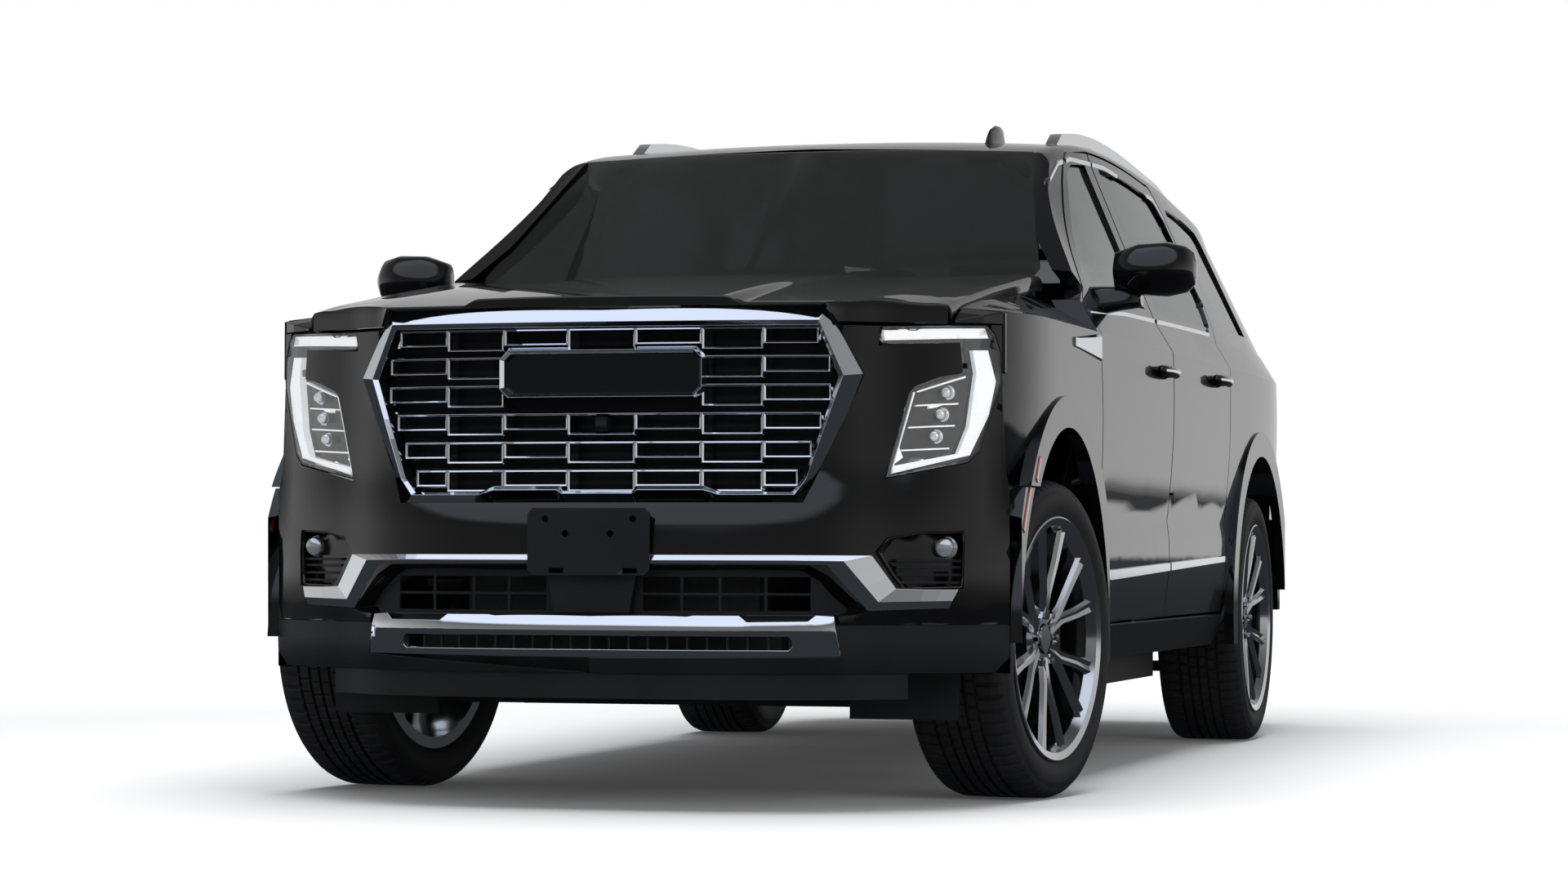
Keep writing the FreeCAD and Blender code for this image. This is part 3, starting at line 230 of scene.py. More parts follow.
def pattern(finish, kind, scale, detail=2.0, colours=(), depth=0.0, strength=1.0, **settings):
    """Lays a pattern over a material: two colours that it runs between, and a relief so many metres deep."""
    tree = finish.node_tree
    shader = tree.nodes["Principled BSDF"]
    sockets = {"Vector": add(tree, "ShaderNodeTexCoord").outputs["Object"], "Scale": scale}
    if kind == "Noise":
        sockets["Detail"] = detail
    made = add(tree, "ShaderNodeTex" + kind, sockets, **settings)
    value = made.outputs["Distance" if kind == "Voronoi" else "Fac"]
    if colours:
        ramp = add(tree, "ShaderNodeValToRGB", {"Fac": value})
        for stop, colour in zip(ramp.color_ramp.elements, colours):
            stop.color = linear(colour)
        tree.links.new(ramp.outputs["Color"], shader.inputs["Base Color"])
    if depth:
        relief = add(tree, "ShaderNodeBump", {"Height": value, "Distance": depth, "Strength": strength})
        tree.links.new(relief.outputs[0], shader.inputs["Normal"])


@contextmanager
def editing(mesh):
    """A mesh as a form to change, written back to it at the end."""
    form = bmesh.new()
    form.from_mesh(mesh)
    yield form
    form.to_mesh(mesh)
    form.free()


def crease(form, degrees):
    """Keeps an edge sharp where its two faces meet at more than an angle, or where it lacks one."""
    for line in form.edges:
        line.smooth = len(line.link_faces) == 2 and line.calc_face_angle(4.0) < math.radians(degrees)


def dress(node, finish):
    """A copy of a CAD piece's mesh, its doubled points merged, shaded smooth between its creases."""
    form = bmesh.new()
    form.from_mesh(frame["nodes"][node].data)
    bmesh.ops.remove_doubles(form, verts=form.verts, dist=2e-5)
    for side in form.faces:
        side.smooth = True
        side.material_index = 0
    crease(form, 28)
    mesh = bpy.data.meshes.new(node + ".dressed")
    form.to_mesh(mesh)
    form.free()
    mesh.materials.append(finish)
    piece = bpy.data.objects.new(node + ".dressed", mesh)
    scene.collection.objects.link(piece)
    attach(piece, body_of[node])
    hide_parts(node)
    return piece


chassis_wax = material("black_chassis_wax", Roughness=0.55)
pattern(chassis_wax, "Noise", 30.0, 4.0, ("#0d0d0e", "#222223"), 0.0006)
cast_iron = material("sand_cast_iron", Roughness=0.6, Metallic=0.8)
pattern(cast_iron, "Noise", 600.0, 3.0, ("#2f2e2d", "#565452"), 0.0004)
for node in ("floor_pan", "ladder_frame", "front_suspension", "rear_suspension", "driveline",
             "cooling_module", "fuel_tank", "exhaust_system", "spare_wheel"):
    dress(node, chassis_wax)
for node in ("knuckle_left", "knuckle_right", "engine_block"):
    dress(node, cast_iron)


# Wheels
# Forged aluminium wheels of six split spokes, turned, polished and clear-coated, with chromed lug nuts.
# The brake disc behind them is machined grey iron, coloured much darker than bare iron as painted shade in the
# hollow behind the spokes; the cap is bare.
def as_lists(faces):
    """Faces as a list of lists, whatever they were."""
    return faces.tolist() if isinstance(faces, np.ndarray) else faces


def joined(*parts):
    """Several (points, faces) pairs as one."""
    points = np.concatenate([p for p, f in parts])
    starts = np.cumsum([0] + [len(p) for p, f in parts[:-1]])
    faces = [[n + start for n in face] for (p, f), start in zip(parts, starts) for face in as_lists(f)]
    return points, faces


def round_axle(depth, radius, angle):
    """Points at depths along the wheel's axle and radii from it, over the angles round it."""
    return np.stack(np.broadcast_arrays(depth, radius * np.cos(angle), radius * np.sin(angle)), -1)


def turned_part(profile, steps):
    """A profile of (depth, radius) places in millimetres, turned about the wheel's axle in so many steps."""
    profile = np.array(profile, float) / 1000
    points = round_axle(profile[:, :1], profile[:, 1:], np.arange(steps) * 2 * np.pi / steps)
    return points.reshape(-1, 3), weave(len(profile), steps, ring_rows=True, ring_columns=True)[:, ::-1]


def six_times(points, faces, start=0.0):
    """A shape set out six times about the axle, from a start angle on."""
    turn = start + np.arange(6) * np.pi / 3
    cos, sin = np.cos(turn)[:, None], np.sin(turn)[:, None]
    x, y, z = points.reshape(-1, 3).T
    copies = np.stack([x + 0 * cos, y * cos + z * sin, z * cos - y * sin], -1)
    further = len(x) * np.arange(6)[:, None, None]
    return copies.reshape(-1, 3), (faces[None] + further).reshape(-1, 4)


polished_alloy = material("polished_aluminium", Base_Color="#d3d4d6", Metallic=1.0, Roughness=0.13)
pattern(polished_alloy, "Noise", 220.0, depth=0.00003)
# The disc's dark greys are painted shade for the hollow behind the spokes, laid over the iron's own uneven tone.
disc_iron_and_painted_shade = material("disc_iron_with_painted_shade", Metallic=0.9, Roughness=0.4)
pattern(disc_iron_and_painted_shade, "Noise", 90.0, 3.0, ("#18181a", "#3a393a"))
chrome_plate = material("bright_chrome_plate", Base_Color="#eef1f6", Metallic=1.0, Roughness=0.07)
pattern(chrome_plate, "Noise", 40.0, depth=0.00001)

# Each corner's hub, and the turn from the wheel's own directions (outwards, forwards, up) to the world's.
spins = [joint for joint in frame["joints"] if "wheel_spin" in joint["name"]]
spin_axis = {joint["child"]: np.array(joint["axis"]) for joint in spins}
wheel_frames = {}
for corner, outward in (("front_left", 1), ("front_right", -1), ("rear_left", 1), ("rear_right", -1)):
    low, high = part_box("tyre_" + corner)
    axis = spin_axis[body_of["wheel_" + corner]]
    axle = outward * axis / np.linalg.norm(axis)
    turned = np.stack([axle, np.cross((0, 0, 1.0), axle), (0, 0, 1.0)])
    wheel_frames[corner] = np.array((low + high) / 2), turned

# Half the width between the lips, the radius of the bead seat and that of the lip, in millimetres.
wide, bead, lip = 120.0, 305.0, 322.0
# A spoke runs through four stations of (radius, place across, half width, depth of its face), with
# seven points round each: a face with a shallow groove, and two sides.
spans = np.array([(50, 6, 20, wide - 20), (120, 14, 19, wide - 12), (205, 46, 20, wide - 2),
                  (bead - 4, 76, 24, wide + 7)])
out, side_by, half, face = spans.T[:, :, None]
deep = face + np.array([-34, -10, 0, -5, 0, -10, -34.0])
offset = half * np.array([-1, -1, -1, 0, 1, 1, 1]) + np.array([0, 0, 9, 0, -9, 0, 0.0])
spokes = [six_times(np.stack([deep, hand * side_by + offset, out + 0 * deep], -1) / 1000,
                    weave(4, 7, ring_columns=True)) for hand in (1, -1)]
barrel = turned_part([(-wide, lip), (-wide, bead), (wide, bead), (wide + 8, lip), (wide + 18, lip),
                      (wide + 20, lip - 4), (wide + 14, bead - 6), (wide - 10, bead - 22),
                      (-wide - 8, bead - 22), (-wide - 8, lip)], 144)
centre = turned_part([(40, 40), (wide - 24, 40), (wide - 24, 84), (wide - 36, 94), (40, 86)], 72)
cap = turned_part([(wide - 30, 0.1), (wide - 17, 0.1), (wide - 17, 34), (wide - 19, 36), (wide - 30, 36)], 48)
brake = turned_part([(-16, 42), (-16, 198), (16, 198), (16, 42)], 96)
nut, nut_faces = turned_part([(wide - 26, 0.1), (wide - 6, 0.1), (wide - 6, 6), (wide - 10, 10.5),
                              (wide - 26, 10.5)], 6)
stud_circle = 0.06985
nuts = six_times(nut + (0, 0, stud_circle), nut_faces, np.pi / 6)
wheel_parts = (("forging", spokes + [barrel, centre, cap], polished_alloy, "polished_alloy"),
               ("brake_disc", [brake], disc_iron_and_painted_shade, "cast_iron"),
               ("lug_nuts", [nuts], chrome_plate, "polished_alloy"))
for corner, (hub, turned) in wheel_frames.items():
    for part, shapes, finish, slot in wheel_parts:
        points, faces = joined(*shapes)
        piece = skin("wheel_" + corner + "." + part, points @ turned + hub, faces, finish)
        with editing(piece.data) as form:
            bmesh.ops.recalc_face_normals(form, faces=form.faces)
            crease(form, 30)
        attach(piece, body_of["wheel_" + corner])
        if part == "forging":
            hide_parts("wheel_" + corner)


# Tyres
# Low road tyres moulded in carbon-black rubber: six ribs between five grooves, cut by sipes, bare sidewalls.
# Each is a profile of (half width, radius) points turned about the axle; the tread is stepped in between.
rubber = material("tyre_rubber", Roughness=0.62, Specular_IOR_Level=0.4)
pattern(rubber, "Noise", 9.0, 5.0, ("#121213", "#242426"))
pattern(rubber, "Noise", 900.0, depth=0.0001)

low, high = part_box("tyre_rear_left")
tyre_radius, tyre_half, bead_radius = (high - low)[2] / 2, (high - low)[0] / 2, 0.3085
# Half the tread, from the middle out: place across in metres, and 1 where it is a groove's floor.
tread = np.array([(0.004, 1), (0.0045, 0), (0.026, 0), (0.0265, 1), (0.0345, 1), (0.035, 0), (0.058, 0),
                  (0.0585, 1), (0.0675, 1), (0.068, 0), (0.088, 0), (0.104, 0)])
# The shoulder's half widths stand at depths below the crown; the wall's points lie in and up from the bead.
shoulder = np.array([(0.112, 0.0035), (0.124, 0.0085), (0.132, 0.016), (0.1365, 0.026), (0.1365, 0.029),
                     (0.139, 0.031), (tyre_half - 0.0005, 0.046)]) * (1, -1) + (0, tyre_radius)
wall = np.array([(0, 0.050), (-0.002, 0.034), (-0.008, 0.020), (-0.009, 0.014), (-0.016, 0.004)])
side = np.concatenate([shoulder, wall + (tyre_half, bead_radius)])
crown = tyre_radius - 0.0012 * (tread[:, 0] / 0.104) ** 2
widths = np.concatenate([tread[:, 0], side[:, 0]])
widths = np.concatenate([-widths[::-1], widths])
radial = np.concatenate([crown - 0.008 * tread[:, 1], side[:, 1]])
radial = np.concatenate([radial[::-1], radial])
groove = np.concatenate([tread[:, 1], np.zeros(len(side))])
in_groove = np.concatenate([groove[::-1], groove]) > 0
steps = 576
angle = np.arange(steps) * 2 * np.pi / steps
# Cross cuts: every eighth step a sipe on the ribs, and two steps wide between the shoulder blocks,
# each rib's cuts started a few steps round from its neighbour's.
rib = np.digitize(widths, (-0.068, -0.0585, -0.0345, -0.0265, 0.0265, 0.0345, 0.0585, 0.068))
beat = (np.arange(steps)[None, :] + 3 * rib[:, None]) % 8
on_shoulder = np.abs(widths) > 0.0679
cut = np.where(on_shoulder[:, None], beat < 2, beat < 1) & (np.abs(widths) < 0.1255)[:, None]
depth = np.where(on_shoulder, 0.0065, 0.005)[:, None] * (cut & ~in_groove[:, None])
outer = round_axle(widths[:, None], radial[:, None] - depth, angle)
inner = round_axle(np.array([[tyre_half - 0.018], [-tyre_half + 0.018]]), bead_radius, angle)
tyre_points = np.concatenate([outer, inner])
tyre_faces = weave(len(tyre_points), steps, ring_rows=True, ring_columns=True)
smooth_rows = np.concatenate([np.abs(widths[1:]) > 0.13, np.ones(3, bool)])
for corner, (hub, turned) in wheel_frames.items():
    tyre = skin("tyre_" + corner + ".tread", tyre_points.reshape(-1, 3) @ turned + hub, tyre_faces, rubber)
    tyre.data.polygons.foreach_set("use_smooth", np.repeat(smooth_rows, steps))
    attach(tyre, body_of["tyre_" + corner])
    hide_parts("tyre_" + corner)


# Body panels and roof rails
# Pressed steel and aluminium panels in solid black under a thick clear coat, deep and wet-looking,
# and plated aluminium rails. Each keeps its pressed form, shaded smooth between its creases.
black_enamel = material("black_enamel_clear_coat", Base_Color="#060607", Roughness=0.4, Coat_Weight=1.0,
                        Coat_Roughness=0.012, Specular_IOR_Level=0.1)
pattern(black_enamel, "Noise", 160.0, 1.0, depth=0.000002)
for node in ("body_side_left", "body_side_right", "roof_panel", "front_fenders", "rear_bumper",
             "liftgate", "door_front_left", "door_front_right", "door_rear_left", "door_rear_right"):
    dress(node, black_enamel)
dress("roof_rails", chrome_plate)


# Nose shapes
# The nose pieces are pressings and mouldings laid on four plan curves across the front of the car.
# Half widths, stations behind the front axle and heights below are in millimetres.
front_axle = 1904.0


def spot(x, s, up):
    """Points in metres from half widths, stations behind the front axle and heights in millimetres."""
    return np.stack(np.broadcast_arrays(x / 1000.0, (s - front_axle) / 1000.0, up / 1000.0), -1)


def spline(table):
    """A natural cubic through (place, value) pairs: its curvature runs straight between its points."""
    x, y = np.array(table, float).T
    h = np.diff(x)
    grid = np.eye(len(x))
    force = np.zeros(len(x))
    k = np.arange(1, len(x) - 1)
    grid[k, k - 1], grid[k, k], grid[k, k + 1] = h[:-1], 2 * (h[:-1] + h[1:]), h[1:]
    force[1:-1] = 6 * (np.diff(y)[1:] / h[1:] - np.diff(y)[:-1] / h[:-1])
    bend = np.linalg.solve(grid, force)

    def read(at):
        at = np.clip(np.abs(at), x[0], x[-1])
        i = np.clip(np.searchsorted(x, at) - 1, 0, len(h) - 1)
        a, b = (x[i + 1] - at) / h[i], (at - x[i]) / h[i]
        bow = (a ** 3 - a) * bend[i] + (b ** 3 - b) * bend[i + 1]
        return a * y[i] + b * y[i + 1] + bow * h[i] ** 2 / 6
    return read


nose_at = spline([(0, -940), (300, -930), (516, -884), (620, -836), (704, -775), (800, -712), (873, -655),
                  (940, -598), (985, -552)])
shoulder_at = spline([(0, -930), (300, -920), (516, -874), (620, -826), (704, -765), (800, -702), (873, -648),
                      (935, -594), (972, -558)])
cheek_at = spline([(0, -850), (300, -846), (500, -838), (600, -806), (655, -770), (704, -733), (780, -692),
                   (860, -648), (966, -560)])
grille_at = spline([(0, -872), (300, -862), (560, -826), (668, -796)])


def dense(path, step=24.0, closed=True):
    """A path with points added along its straight runs, about a step apart."""
    path = np.array(path, float)
    after = np.roll(path, -1, axis=0) if closed else path[1:]
    runs = []
    for a, b in zip(path, after):
        count = max(1, int(np.hypot(*(b - a)) / step))
        runs.append(a + np.linspace(0, 1, count + 1)[:-1, None] * (b - a))
    return np.concatenate(runs if closed else runs + [path[-1:]])


def inside(points, path):
    """True for points that a path goes round: a line to their right crosses it an odd number of times."""
    x, up = points[:, 0, None], points[:, 1, None]
    x0, up0 = path.T
    x1, up1 = np.roll(path, -1, axis=0).T
    with np.errstate(divide="ignore", invalid="ignore"):
        crossing = x0 + (up - up0) / (up1 - up0) * (x1 - x0)
    return (((up0 > up) != (up1 > up)) & (x < crossing)).sum(1) % 2 == 1


def fill(path, holes=(), step=34.0):
    """Triangles over the inside of a front-view path less its holes, with a grid of points to bend at."""
    loops = [dense(path)] + [dense(hole) for hole in holes]

    def in_sheet(points):
        in_holes = [inside(points, hole) for hole in loops[1:]] or [False]
        return inside(points, loops[0]) & ~np.any(in_holes, axis=0)

    low, high = loops[0].min(0), loops[0].max(0)
    grid = np.meshgrid(np.arange(low[0] + 9, high[0], step), np.arange(low[1] + 7, high[1], step))
    grid = np.stack(grid, -1).reshape(-1, 2)
    edges = []
    start = 0
    for loop in loops:
        numbers = start + np.arange(len(loop))
        edges += np.stack([numbers, np.roll(numbers, -1)], -1).tolist()
        start += len(loop)
    places = np.concatenate(loops + [grid[in_sheet(grid)]])
    found = delaunay_2d_cdt([Vector(p) for p in places], edges, [], 0, 1e-4)
    places, faces = np.array([tuple(p) for p in found[0]]), np.array(found[2])
    return places, faces[in_sheet(places[faces].mean(1))]


def laid(line, curve, deep):
    """Front-view places laid on a plan curve, at a depth behind it."""
    line = np.asarray(line, float)
    return spot(line[..., 0], curve(line[..., 0]) + deep, line[..., 1])


def sheet(path, curve, deep, holes=(), step=34.0):
    """A filled outline laid on a plan curve. A depth given as (heights, depths) runs with the height."""
    places, faces = fill(path, holes, step)
    if np.ndim(deep):
        deep = np.interp(places[:, 1], *deep)
    return laid(places, curve, deep), faces


def across(path):
    """A half outline or path from the centre out, carried on round the other half."""
    path = np.array(path, float)
    other = path[::-1] * (-1, 1)
    return np.concatenate([path, other[np.abs(other[:, 0]) > 0.01]])


def two_handed(points, faces):
    """A left-hand shape with its mirror image, whose faces are turned round so that they point outwards."""
    points = points.reshape(-1, 3)
    return joined((points, faces), (points * (-1, 1, 1), [face[::-1] for face in as_lists(faces)]))


def rings(rows, closed=False, caps=True):
    """A solid through rings of equally many points, capped unless the rings close on themselves."""
    rows = np.asarray(rows, float)
    count, wide = rows.shape[:2]
    faces = weave(count, wide, ring_rows=closed, ring_columns=True).tolist()
    if caps and not closed:
        faces += [list(range(wide)), list(range(count * wide - 1, (count - 1) * wide - 1, -1))]
    return rows.reshape(-1, 3), faces


def block(path, front, back):
    """A block between two stations, with the same front-view outline at both."""
    x, up = np.array(path, float).T
    return rings([spot(x, s, up) for s in (front, back)])


def fit(name, shape, finish, body, replaced="", thick=0.0, edge=0.0, smooth=True):
    """A new piece on its body, with a sheet's thickness and turned edges where given, in metres."""
    piece = skin(name, *shape, finish)
    with editing(piece.data) as form:
        bmesh.ops.remove_doubles(form, verts=form.verts, dist=1e-6)
        if not thick:
            bmesh.ops.recalc_face_normals(form, faces=form.faces)
    if not smooth:
        piece.data.polygons.foreach_set("use_smooth", np.zeros(len(piece.data.polygons), bool))
    if thick:
        wall = piece.modifiers.new("wall", "SOLIDIFY")
        wall.thickness, wall.offset, wall.use_even_offset = thick, -1, True
    # A thick piece without an edge of its own gets one of 0.6 mm, which keeps its rim out of its shading.
    if edge or thick:
        bevel = piece.modifiers.new("turned_edge", "BEVEL")
        bevel.width, bevel.segments, bevel.limit_method = edge or 0.0006, 2 if edge else 1, "ANGLE"
        bevel.angle_limit, bevel.harden_normals, bevel.use_clamp_overlap = math.radians(32), True, False
    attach(piece, body)
    if replaced:
        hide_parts(replaced)
    return piece


# Hood
# One pressed aluminium panel, enamelled: a raised middle with a crease at each side, and a flank that
# turns down over the lamps and fenders. Beside each lamp a painted corner piece meets the fender.
def hood_up(x, s):
    """Height of the hood: a quadratic along its centre line, less a smooth step and a slope to each side."""
    share = (s + 880) / 1400
    centre = 1284 + 225 * share - 81 * share ** 2
    drop = 24 - 14 * share
    edge = np.interp(s, (-700, -560, -342, -142, 150, 480), (1258, 1284, 1314, 1342, 1378, 1420))
    top = np.minimum(edge, centre - drop - 6)
    x = np.abs(x)
    crown = centre - 5 * (x / 322) ** 2
    ease = np.clip((x - 322) / 52, 0, 1)
    ease = ease * ease * (3 - 2 * ease)
    flank = centre - drop - 3 * np.clip((x - 374) / 226, 0, 1)
    low = flank + (top + 7 - flank) * np.clip((x - 600) / 196, 0, 1) ** 1.6
    low = low - 9 * np.clip((x - 796) / 52, 0, 1) ** 2
    return np.where(x < 322, crown, (centre - 5) * (1 - ease) + low * ease)


columns = np.concatenate([np.linspace(0, 310, 12), np.linspace(318, 378, 11), np.linspace(390, 790, 18),
                          np.linspace(800, 848, 7)])
columns = np.concatenate([-columns[:0:-1], columns])
front_s = np.interp(np.abs(columns), (0, 560, 580, 600, 655, 704, 780, 848),
                    (-862, -842, -834, -806, -770, -733, -692, -655))
back_s = np.interp(np.abs(columns), (0, 500, 834, 848), (330, 380, 470, 470))
share = np.linspace(0, 1, 40)[:, None]
stations = front_s * (1 - share) + back_s * share
# The front lip hangs to the grille's top in the middle, and lower over the lamps.
lip_up = np.where(np.abs(columns) < 580, 1262.0, 1220.0)
front_up = hood_up(columns, stations[:1])
lip_rows = [spot(columns, stations[:1] - 3, lip_up[None] * (1 - share) + front_up * share - 2)
            for share in (0.0, 0.5, 0.93)]
rows = np.concatenate(lip_rows + [spot(columns, stations, hood_up(columns, stations))])


def flank_line(end, fall):
    """A further column at the hood's side, 856 mm out: the lip's own end, then places below the edge."""
    down = spot(np.sign(columns[end]) * 856.0, stations[:, 0], hood_up(columns[end], stations[:, 0]) - fall)
    return np.concatenate([rows[:3, [end]], down[:, None]])


hood_grid = np.concatenate([flank_line(0, 40.0), flank_line(0, 14.0), rows, flank_line(-1, 14.0),
                            flank_line(-1, 40.0)], axis=1)
hood_faces = weave(*hood_grid.shape[:2])[:, ::-1]
fit("hood_skin", (hood_grid.reshape(-1, 3), hood_faces), black_enamel, "hood_body", "hood", thick=0.012)
tips = [spot(np.array([862.0, tip, tip, 862.0]), s, np.array([1218.0, 1218.0, up, inner]))
        for s, tip, up, inner in ((-650.0, 866.0, 1224.0, 1226.0), (-642.0, 872.0, 1228.0, 1230.0),
                                  (-600.0, 927.0, 1240.0, 1249.0), (-552.0, 970.0, 1251.0, 1264.0))]
post = [spot(np.array([935.0, 972.0, 972.0, 935.0]), np.array([-556.0, -556.0, -538.0, -538.0]), up)
        for up in (1096.0, 1250.0)]
fender_tips = two_handed(*joined(rings(tips), rings(post)))
fit("fender_tips", fender_tips, black_enamel, "vehicle", edge=0.003, smooth=False)


# Front bumper
# A moulded and painted cover that carries the whole nose, with openings for grille, lamps, fog lamps
# and intake. Its ends behind the nose are the CAD bumper's own.
def bumper_at(x, up):
    """Station of the bumper's surface: straight between the plan curves of its five levels."""
    levels = np.array([300.0, 640, 742, 850, 1300])
    curves = np.stack([nose_at(x), nose_at(x), shoulder_at(x), cheek_at(x), cheek_at(x)])
    i = np.clip(np.searchsorted(levels, up) - 1, 0, 3)
    share = (up - levels[i]) / (levels[i + 1] - levels[i])
    column = np.arange(len(x))
    return curves[i, column] * (1 - share) + curves[i + 1, column] * share


lamp_line = [(666, 1208), (840, 1214), (933, 1216), (949, 1196), (962, 1151), (966, 1075), (916, 897),
             (892, 869), (704, 828), (758, 1043), (773, 1060), (829, 1083), (880, 1095), (874, 1171),
             (697, 1166)]
lamp_hole = lamp_line[1:-1] + [(690, 1160), (700, 1207)]
fog_line = [(692, 647), (717, 682), (788, 696), (885, 700), (888, 672), (885, 556), (751, 553), (726, 588)]
cover_half = [(0, 613), (547, 613), (592, 587), (677, 499), (650, 491), (613, 488), (618, 466), (984, 466),
              (984, 800), (972, 860), (966, 1070), (965, 1216), (949, 1217), (666, 1209), (590, 1209),
              (576, 1257), (661.4, 1088), (528, 768.6), (0, 768.6)]
places, faces = fill(cover_half, [lamp_hole, fog_line])
cover = spot(places[:, 0], bumper_at(places[:, 0], places[:, 1]), places[:, 1])
fit("bumper_skin", two_handed(cover, faces), black_enamel, "vehicle", "front_bumper", thick=0.003)
ends = dress("front_bumper", black_enamel)
ends.name = "front_bumper.wrap"
ends_from = -2.4572
with editing(ends.data) as form:
    ahead_of_ends = [face for face in form.faces if face.calc_center_median().y < ends_from]
    bmesh.ops.delete(form, geom=ahead_of_ends, context="FACES")
# The intake is a funnel from its mouth in the cover to a smaller throat 72 mm behind.
mouth = [(0, 613), (250, 613), (547, 613), (592, 587), (677, 499), (650, 491), (250, 491), (0, 491)]
throat = [(0, 592), (250, 592), (505, 592), (540, 568), (585, 510), (570, 491), (250, 491), (0, 491)]
funnel = np.stack([laid(across(mouth), nose_at, 1), laid(across(throat), nose_at, 74)])
fit("intake_funnel", rings(funnel, caps=False), black_enamel, "vehicle", thick=0.003, smooth=False)


# Bumper mouldings
# Plated plastic, clipped to the cover: a band with a ridge along it that drops round the fog lamps,
# and a slotted lower bar.
def moulding(upper, lower, ridge, front, back):
    """A band between two edge lines on the nose, with a ridge between them, carried across the centre."""
    counts = [max(1, int(math.dist(a, b) / 30.0)) for a, b in zip(upper, upper[1:])]
    walk = [i + np.linspace(0, 1, n + 1)[:-1] for i, n in enumerate(counts)]
    walk = np.concatenate(walk + [[len(counts)]])
    top, foot = (np.stack([np.interp(walk, np.arange(len(line)), line[:, c]) for c in (0, 1)], -1)
                 for line in (np.array(upper, float), np.array(lower, float)))
    top, foot = (np.concatenate([line[:0:-1] * (-1, 1), line]) for line in (top, foot))
    crest = top + ridge * (foot - top)
    section = ((top, -1), (crest, front), (foot, -1), (foot, back), (top, back))
    return rings(np.stack([laid(line, nose_at, deep) for line, deep in section], 1))


band = moulding([(0, 639), (500, 639), (686, 638), (739, 556), (800, 554), (875, 554)],
                [(0, 616), (500, 616), (588, 614), (677, 501), (790, 505), (855, 507)], 0.6, -9, 6)
fit("bumper_band", band, chrome_plate, "vehicle", "bumper_trim", edge=0.0012, smooth=False)
bar_half = [(0, 384), (620, 388), (604, 488), (562, 491), (545, 476), (401, 474), (380, 490), (0, 490)]
slot_half = [(0, 404), (500, 404), (508, 412), (508, 430), (500, 438), (0, 438)]
bar_depth = ((383, 440, 458, 474, 492), (4, -5, -7, -3, 6))
bar = sheet(across(bar_half), nose_at, bar_depth, [across(slot_half)], 17.0)
fit("lower_bar", bar, chrome_plate, "vehicle", "bumper_trim", thick=0.018, edge=0.0015)


# Valance
# Grained black polypropylene below the paint, moulded and clipped on: corners, chin, intake grid,
# air dam, radar cover, wheel flaps, and a blank plate bracket.
grained_black = material("grained_black_polypropylene", Roughness=0.46)
pattern(grained_black, "Noise", 5.0, 3.0, ("#0c0d0f", "#1a1b1e"))
pattern(grained_black, "Voronoi", 700.0, depth=0.00015, strength=0.5)


def oblong(left, right, low, high):
    """An upright rectangle in the front view."""
    return [(left, low), (right, low), (right, high), (left, high)]


corner_line = [(0, 346), (0, 383), (621, 387), (606, 465.5), (984, 465.5), (984, 384), (950, 346)]
skirt = sheet(across(corner_line), nose_at, ((344, 384), (14, 0)))
dam = sheet(oblong(-760, 760, 281, 348), nose_at, 24)
meshes = [oblong(x0 * side, x1 * side, low, high) for side in (-1, 1)
          for x0, x1 in ((126, 222), (230, 318), (326, 430), (438, 540))
          for low, high in ((500, 538), (545, 584))]
intake_grid = sheet(oblong(-640, 640, 470, 625), nose_at, 46, meshes)
slots = [oblong(x, x + 44, 404, 438) for x in range(-497, 480, 50)]
slot_ribs = sheet(oblong(-540, 540, 396, 446), nose_at, 10, slots)
fit("valance_skirt", joined(skirt, dam, intake_grid, slot_ribs), grained_black, "vehicle", "valance",
    thick=0.006)
radar = block([(-99, 491.6), (99, 491.6), (118, 594), (-118, 594)], -922.0, -886.0)
fit("radar_cover", radar, grained_black, "vehicle", edge=0.003, smooth=False)
flap_line = np.array([(557, -504), (842, -504), (842, -488), (557, -488)])
flap = rings([spot(flap_line[:, 0], flap_line[:, 1], up) for up in (222.0, 350.0)])
fit("wheel_flaps", two_handed(*flap), grained_black, "vehicle", smooth=False)
plate_line = [(-156, 601), (-142, 587), (148, 587), (162, 601), (162, 741), (148, 755), (-142, 755),
              (-156, 741)]
hole_turn = np.arange(12) * np.pi / 6
round_hole = 9 * np.stack([np.cos(hole_turn), np.sin(hole_turn)], -1)
screw_holes = [round_hole + middle for middle in ((-110, 727), (118, 727), (-57, 690), (60, 690))]
hook_holes = [oblong(x, x + 38, 592, 605) for x in (-100, 92)]
bracket = sheet(plate_line, np.zeros_like, -956.5, screw_holes + hook_holes)
fit("plate_bracket_blank", bracket, grained_black, "vehicle", "plate_bracket", thick=0.006,
    edge=0.001)


# Grille
# A plated frame of five-sided section, screwed to the cover. In it stand six rows of tapered windows,
# each a plated funnel of its own, before a black shutter, and a bare badge in its own frame.
def framing(outer, inner, profile):
    """A closed frame between two half outlines: each section point lies a share inward, at a depth."""
    walk = np.linspace(0, len(outer) - 1, (len(outer) - 1) * 5 + 1)
    out, into = (across(np.stack([np.interp(walk, np.arange(len(line)), line[:, c]) for c in (0, 1)], -1))
                 for line in (np.array(outer, float), np.array(inner, float)))
    return rings(np.stack([laid(out + share * (into - out), grille_at, deep) for share, deep in profile], 1),
                 closed=True)


frame_outer = [(0, 1256), (300, 1256), (575, 1256), (661, 1088), (556, 820), (528, 769), (315, 769),
               (275, 769), (105, 769), (92, 769), (0, 769)]
frame_inner = [(0, 1208), (300, 1208), (556, 1208), (606, 1082), (524, 832), (494, 795), (315, 795),
               (275, 811), (105, 811), (92, 799), (0, 799)]
surround = framing(frame_outer, frame_inner, [(0, 14), (0.74, -12), (1, 0), (1, 58), (0, 58)])
fit("grille_surround", surround, chrome_plate, "vehicle", "grille_frame", edge=0.0015,
    smooth=False)

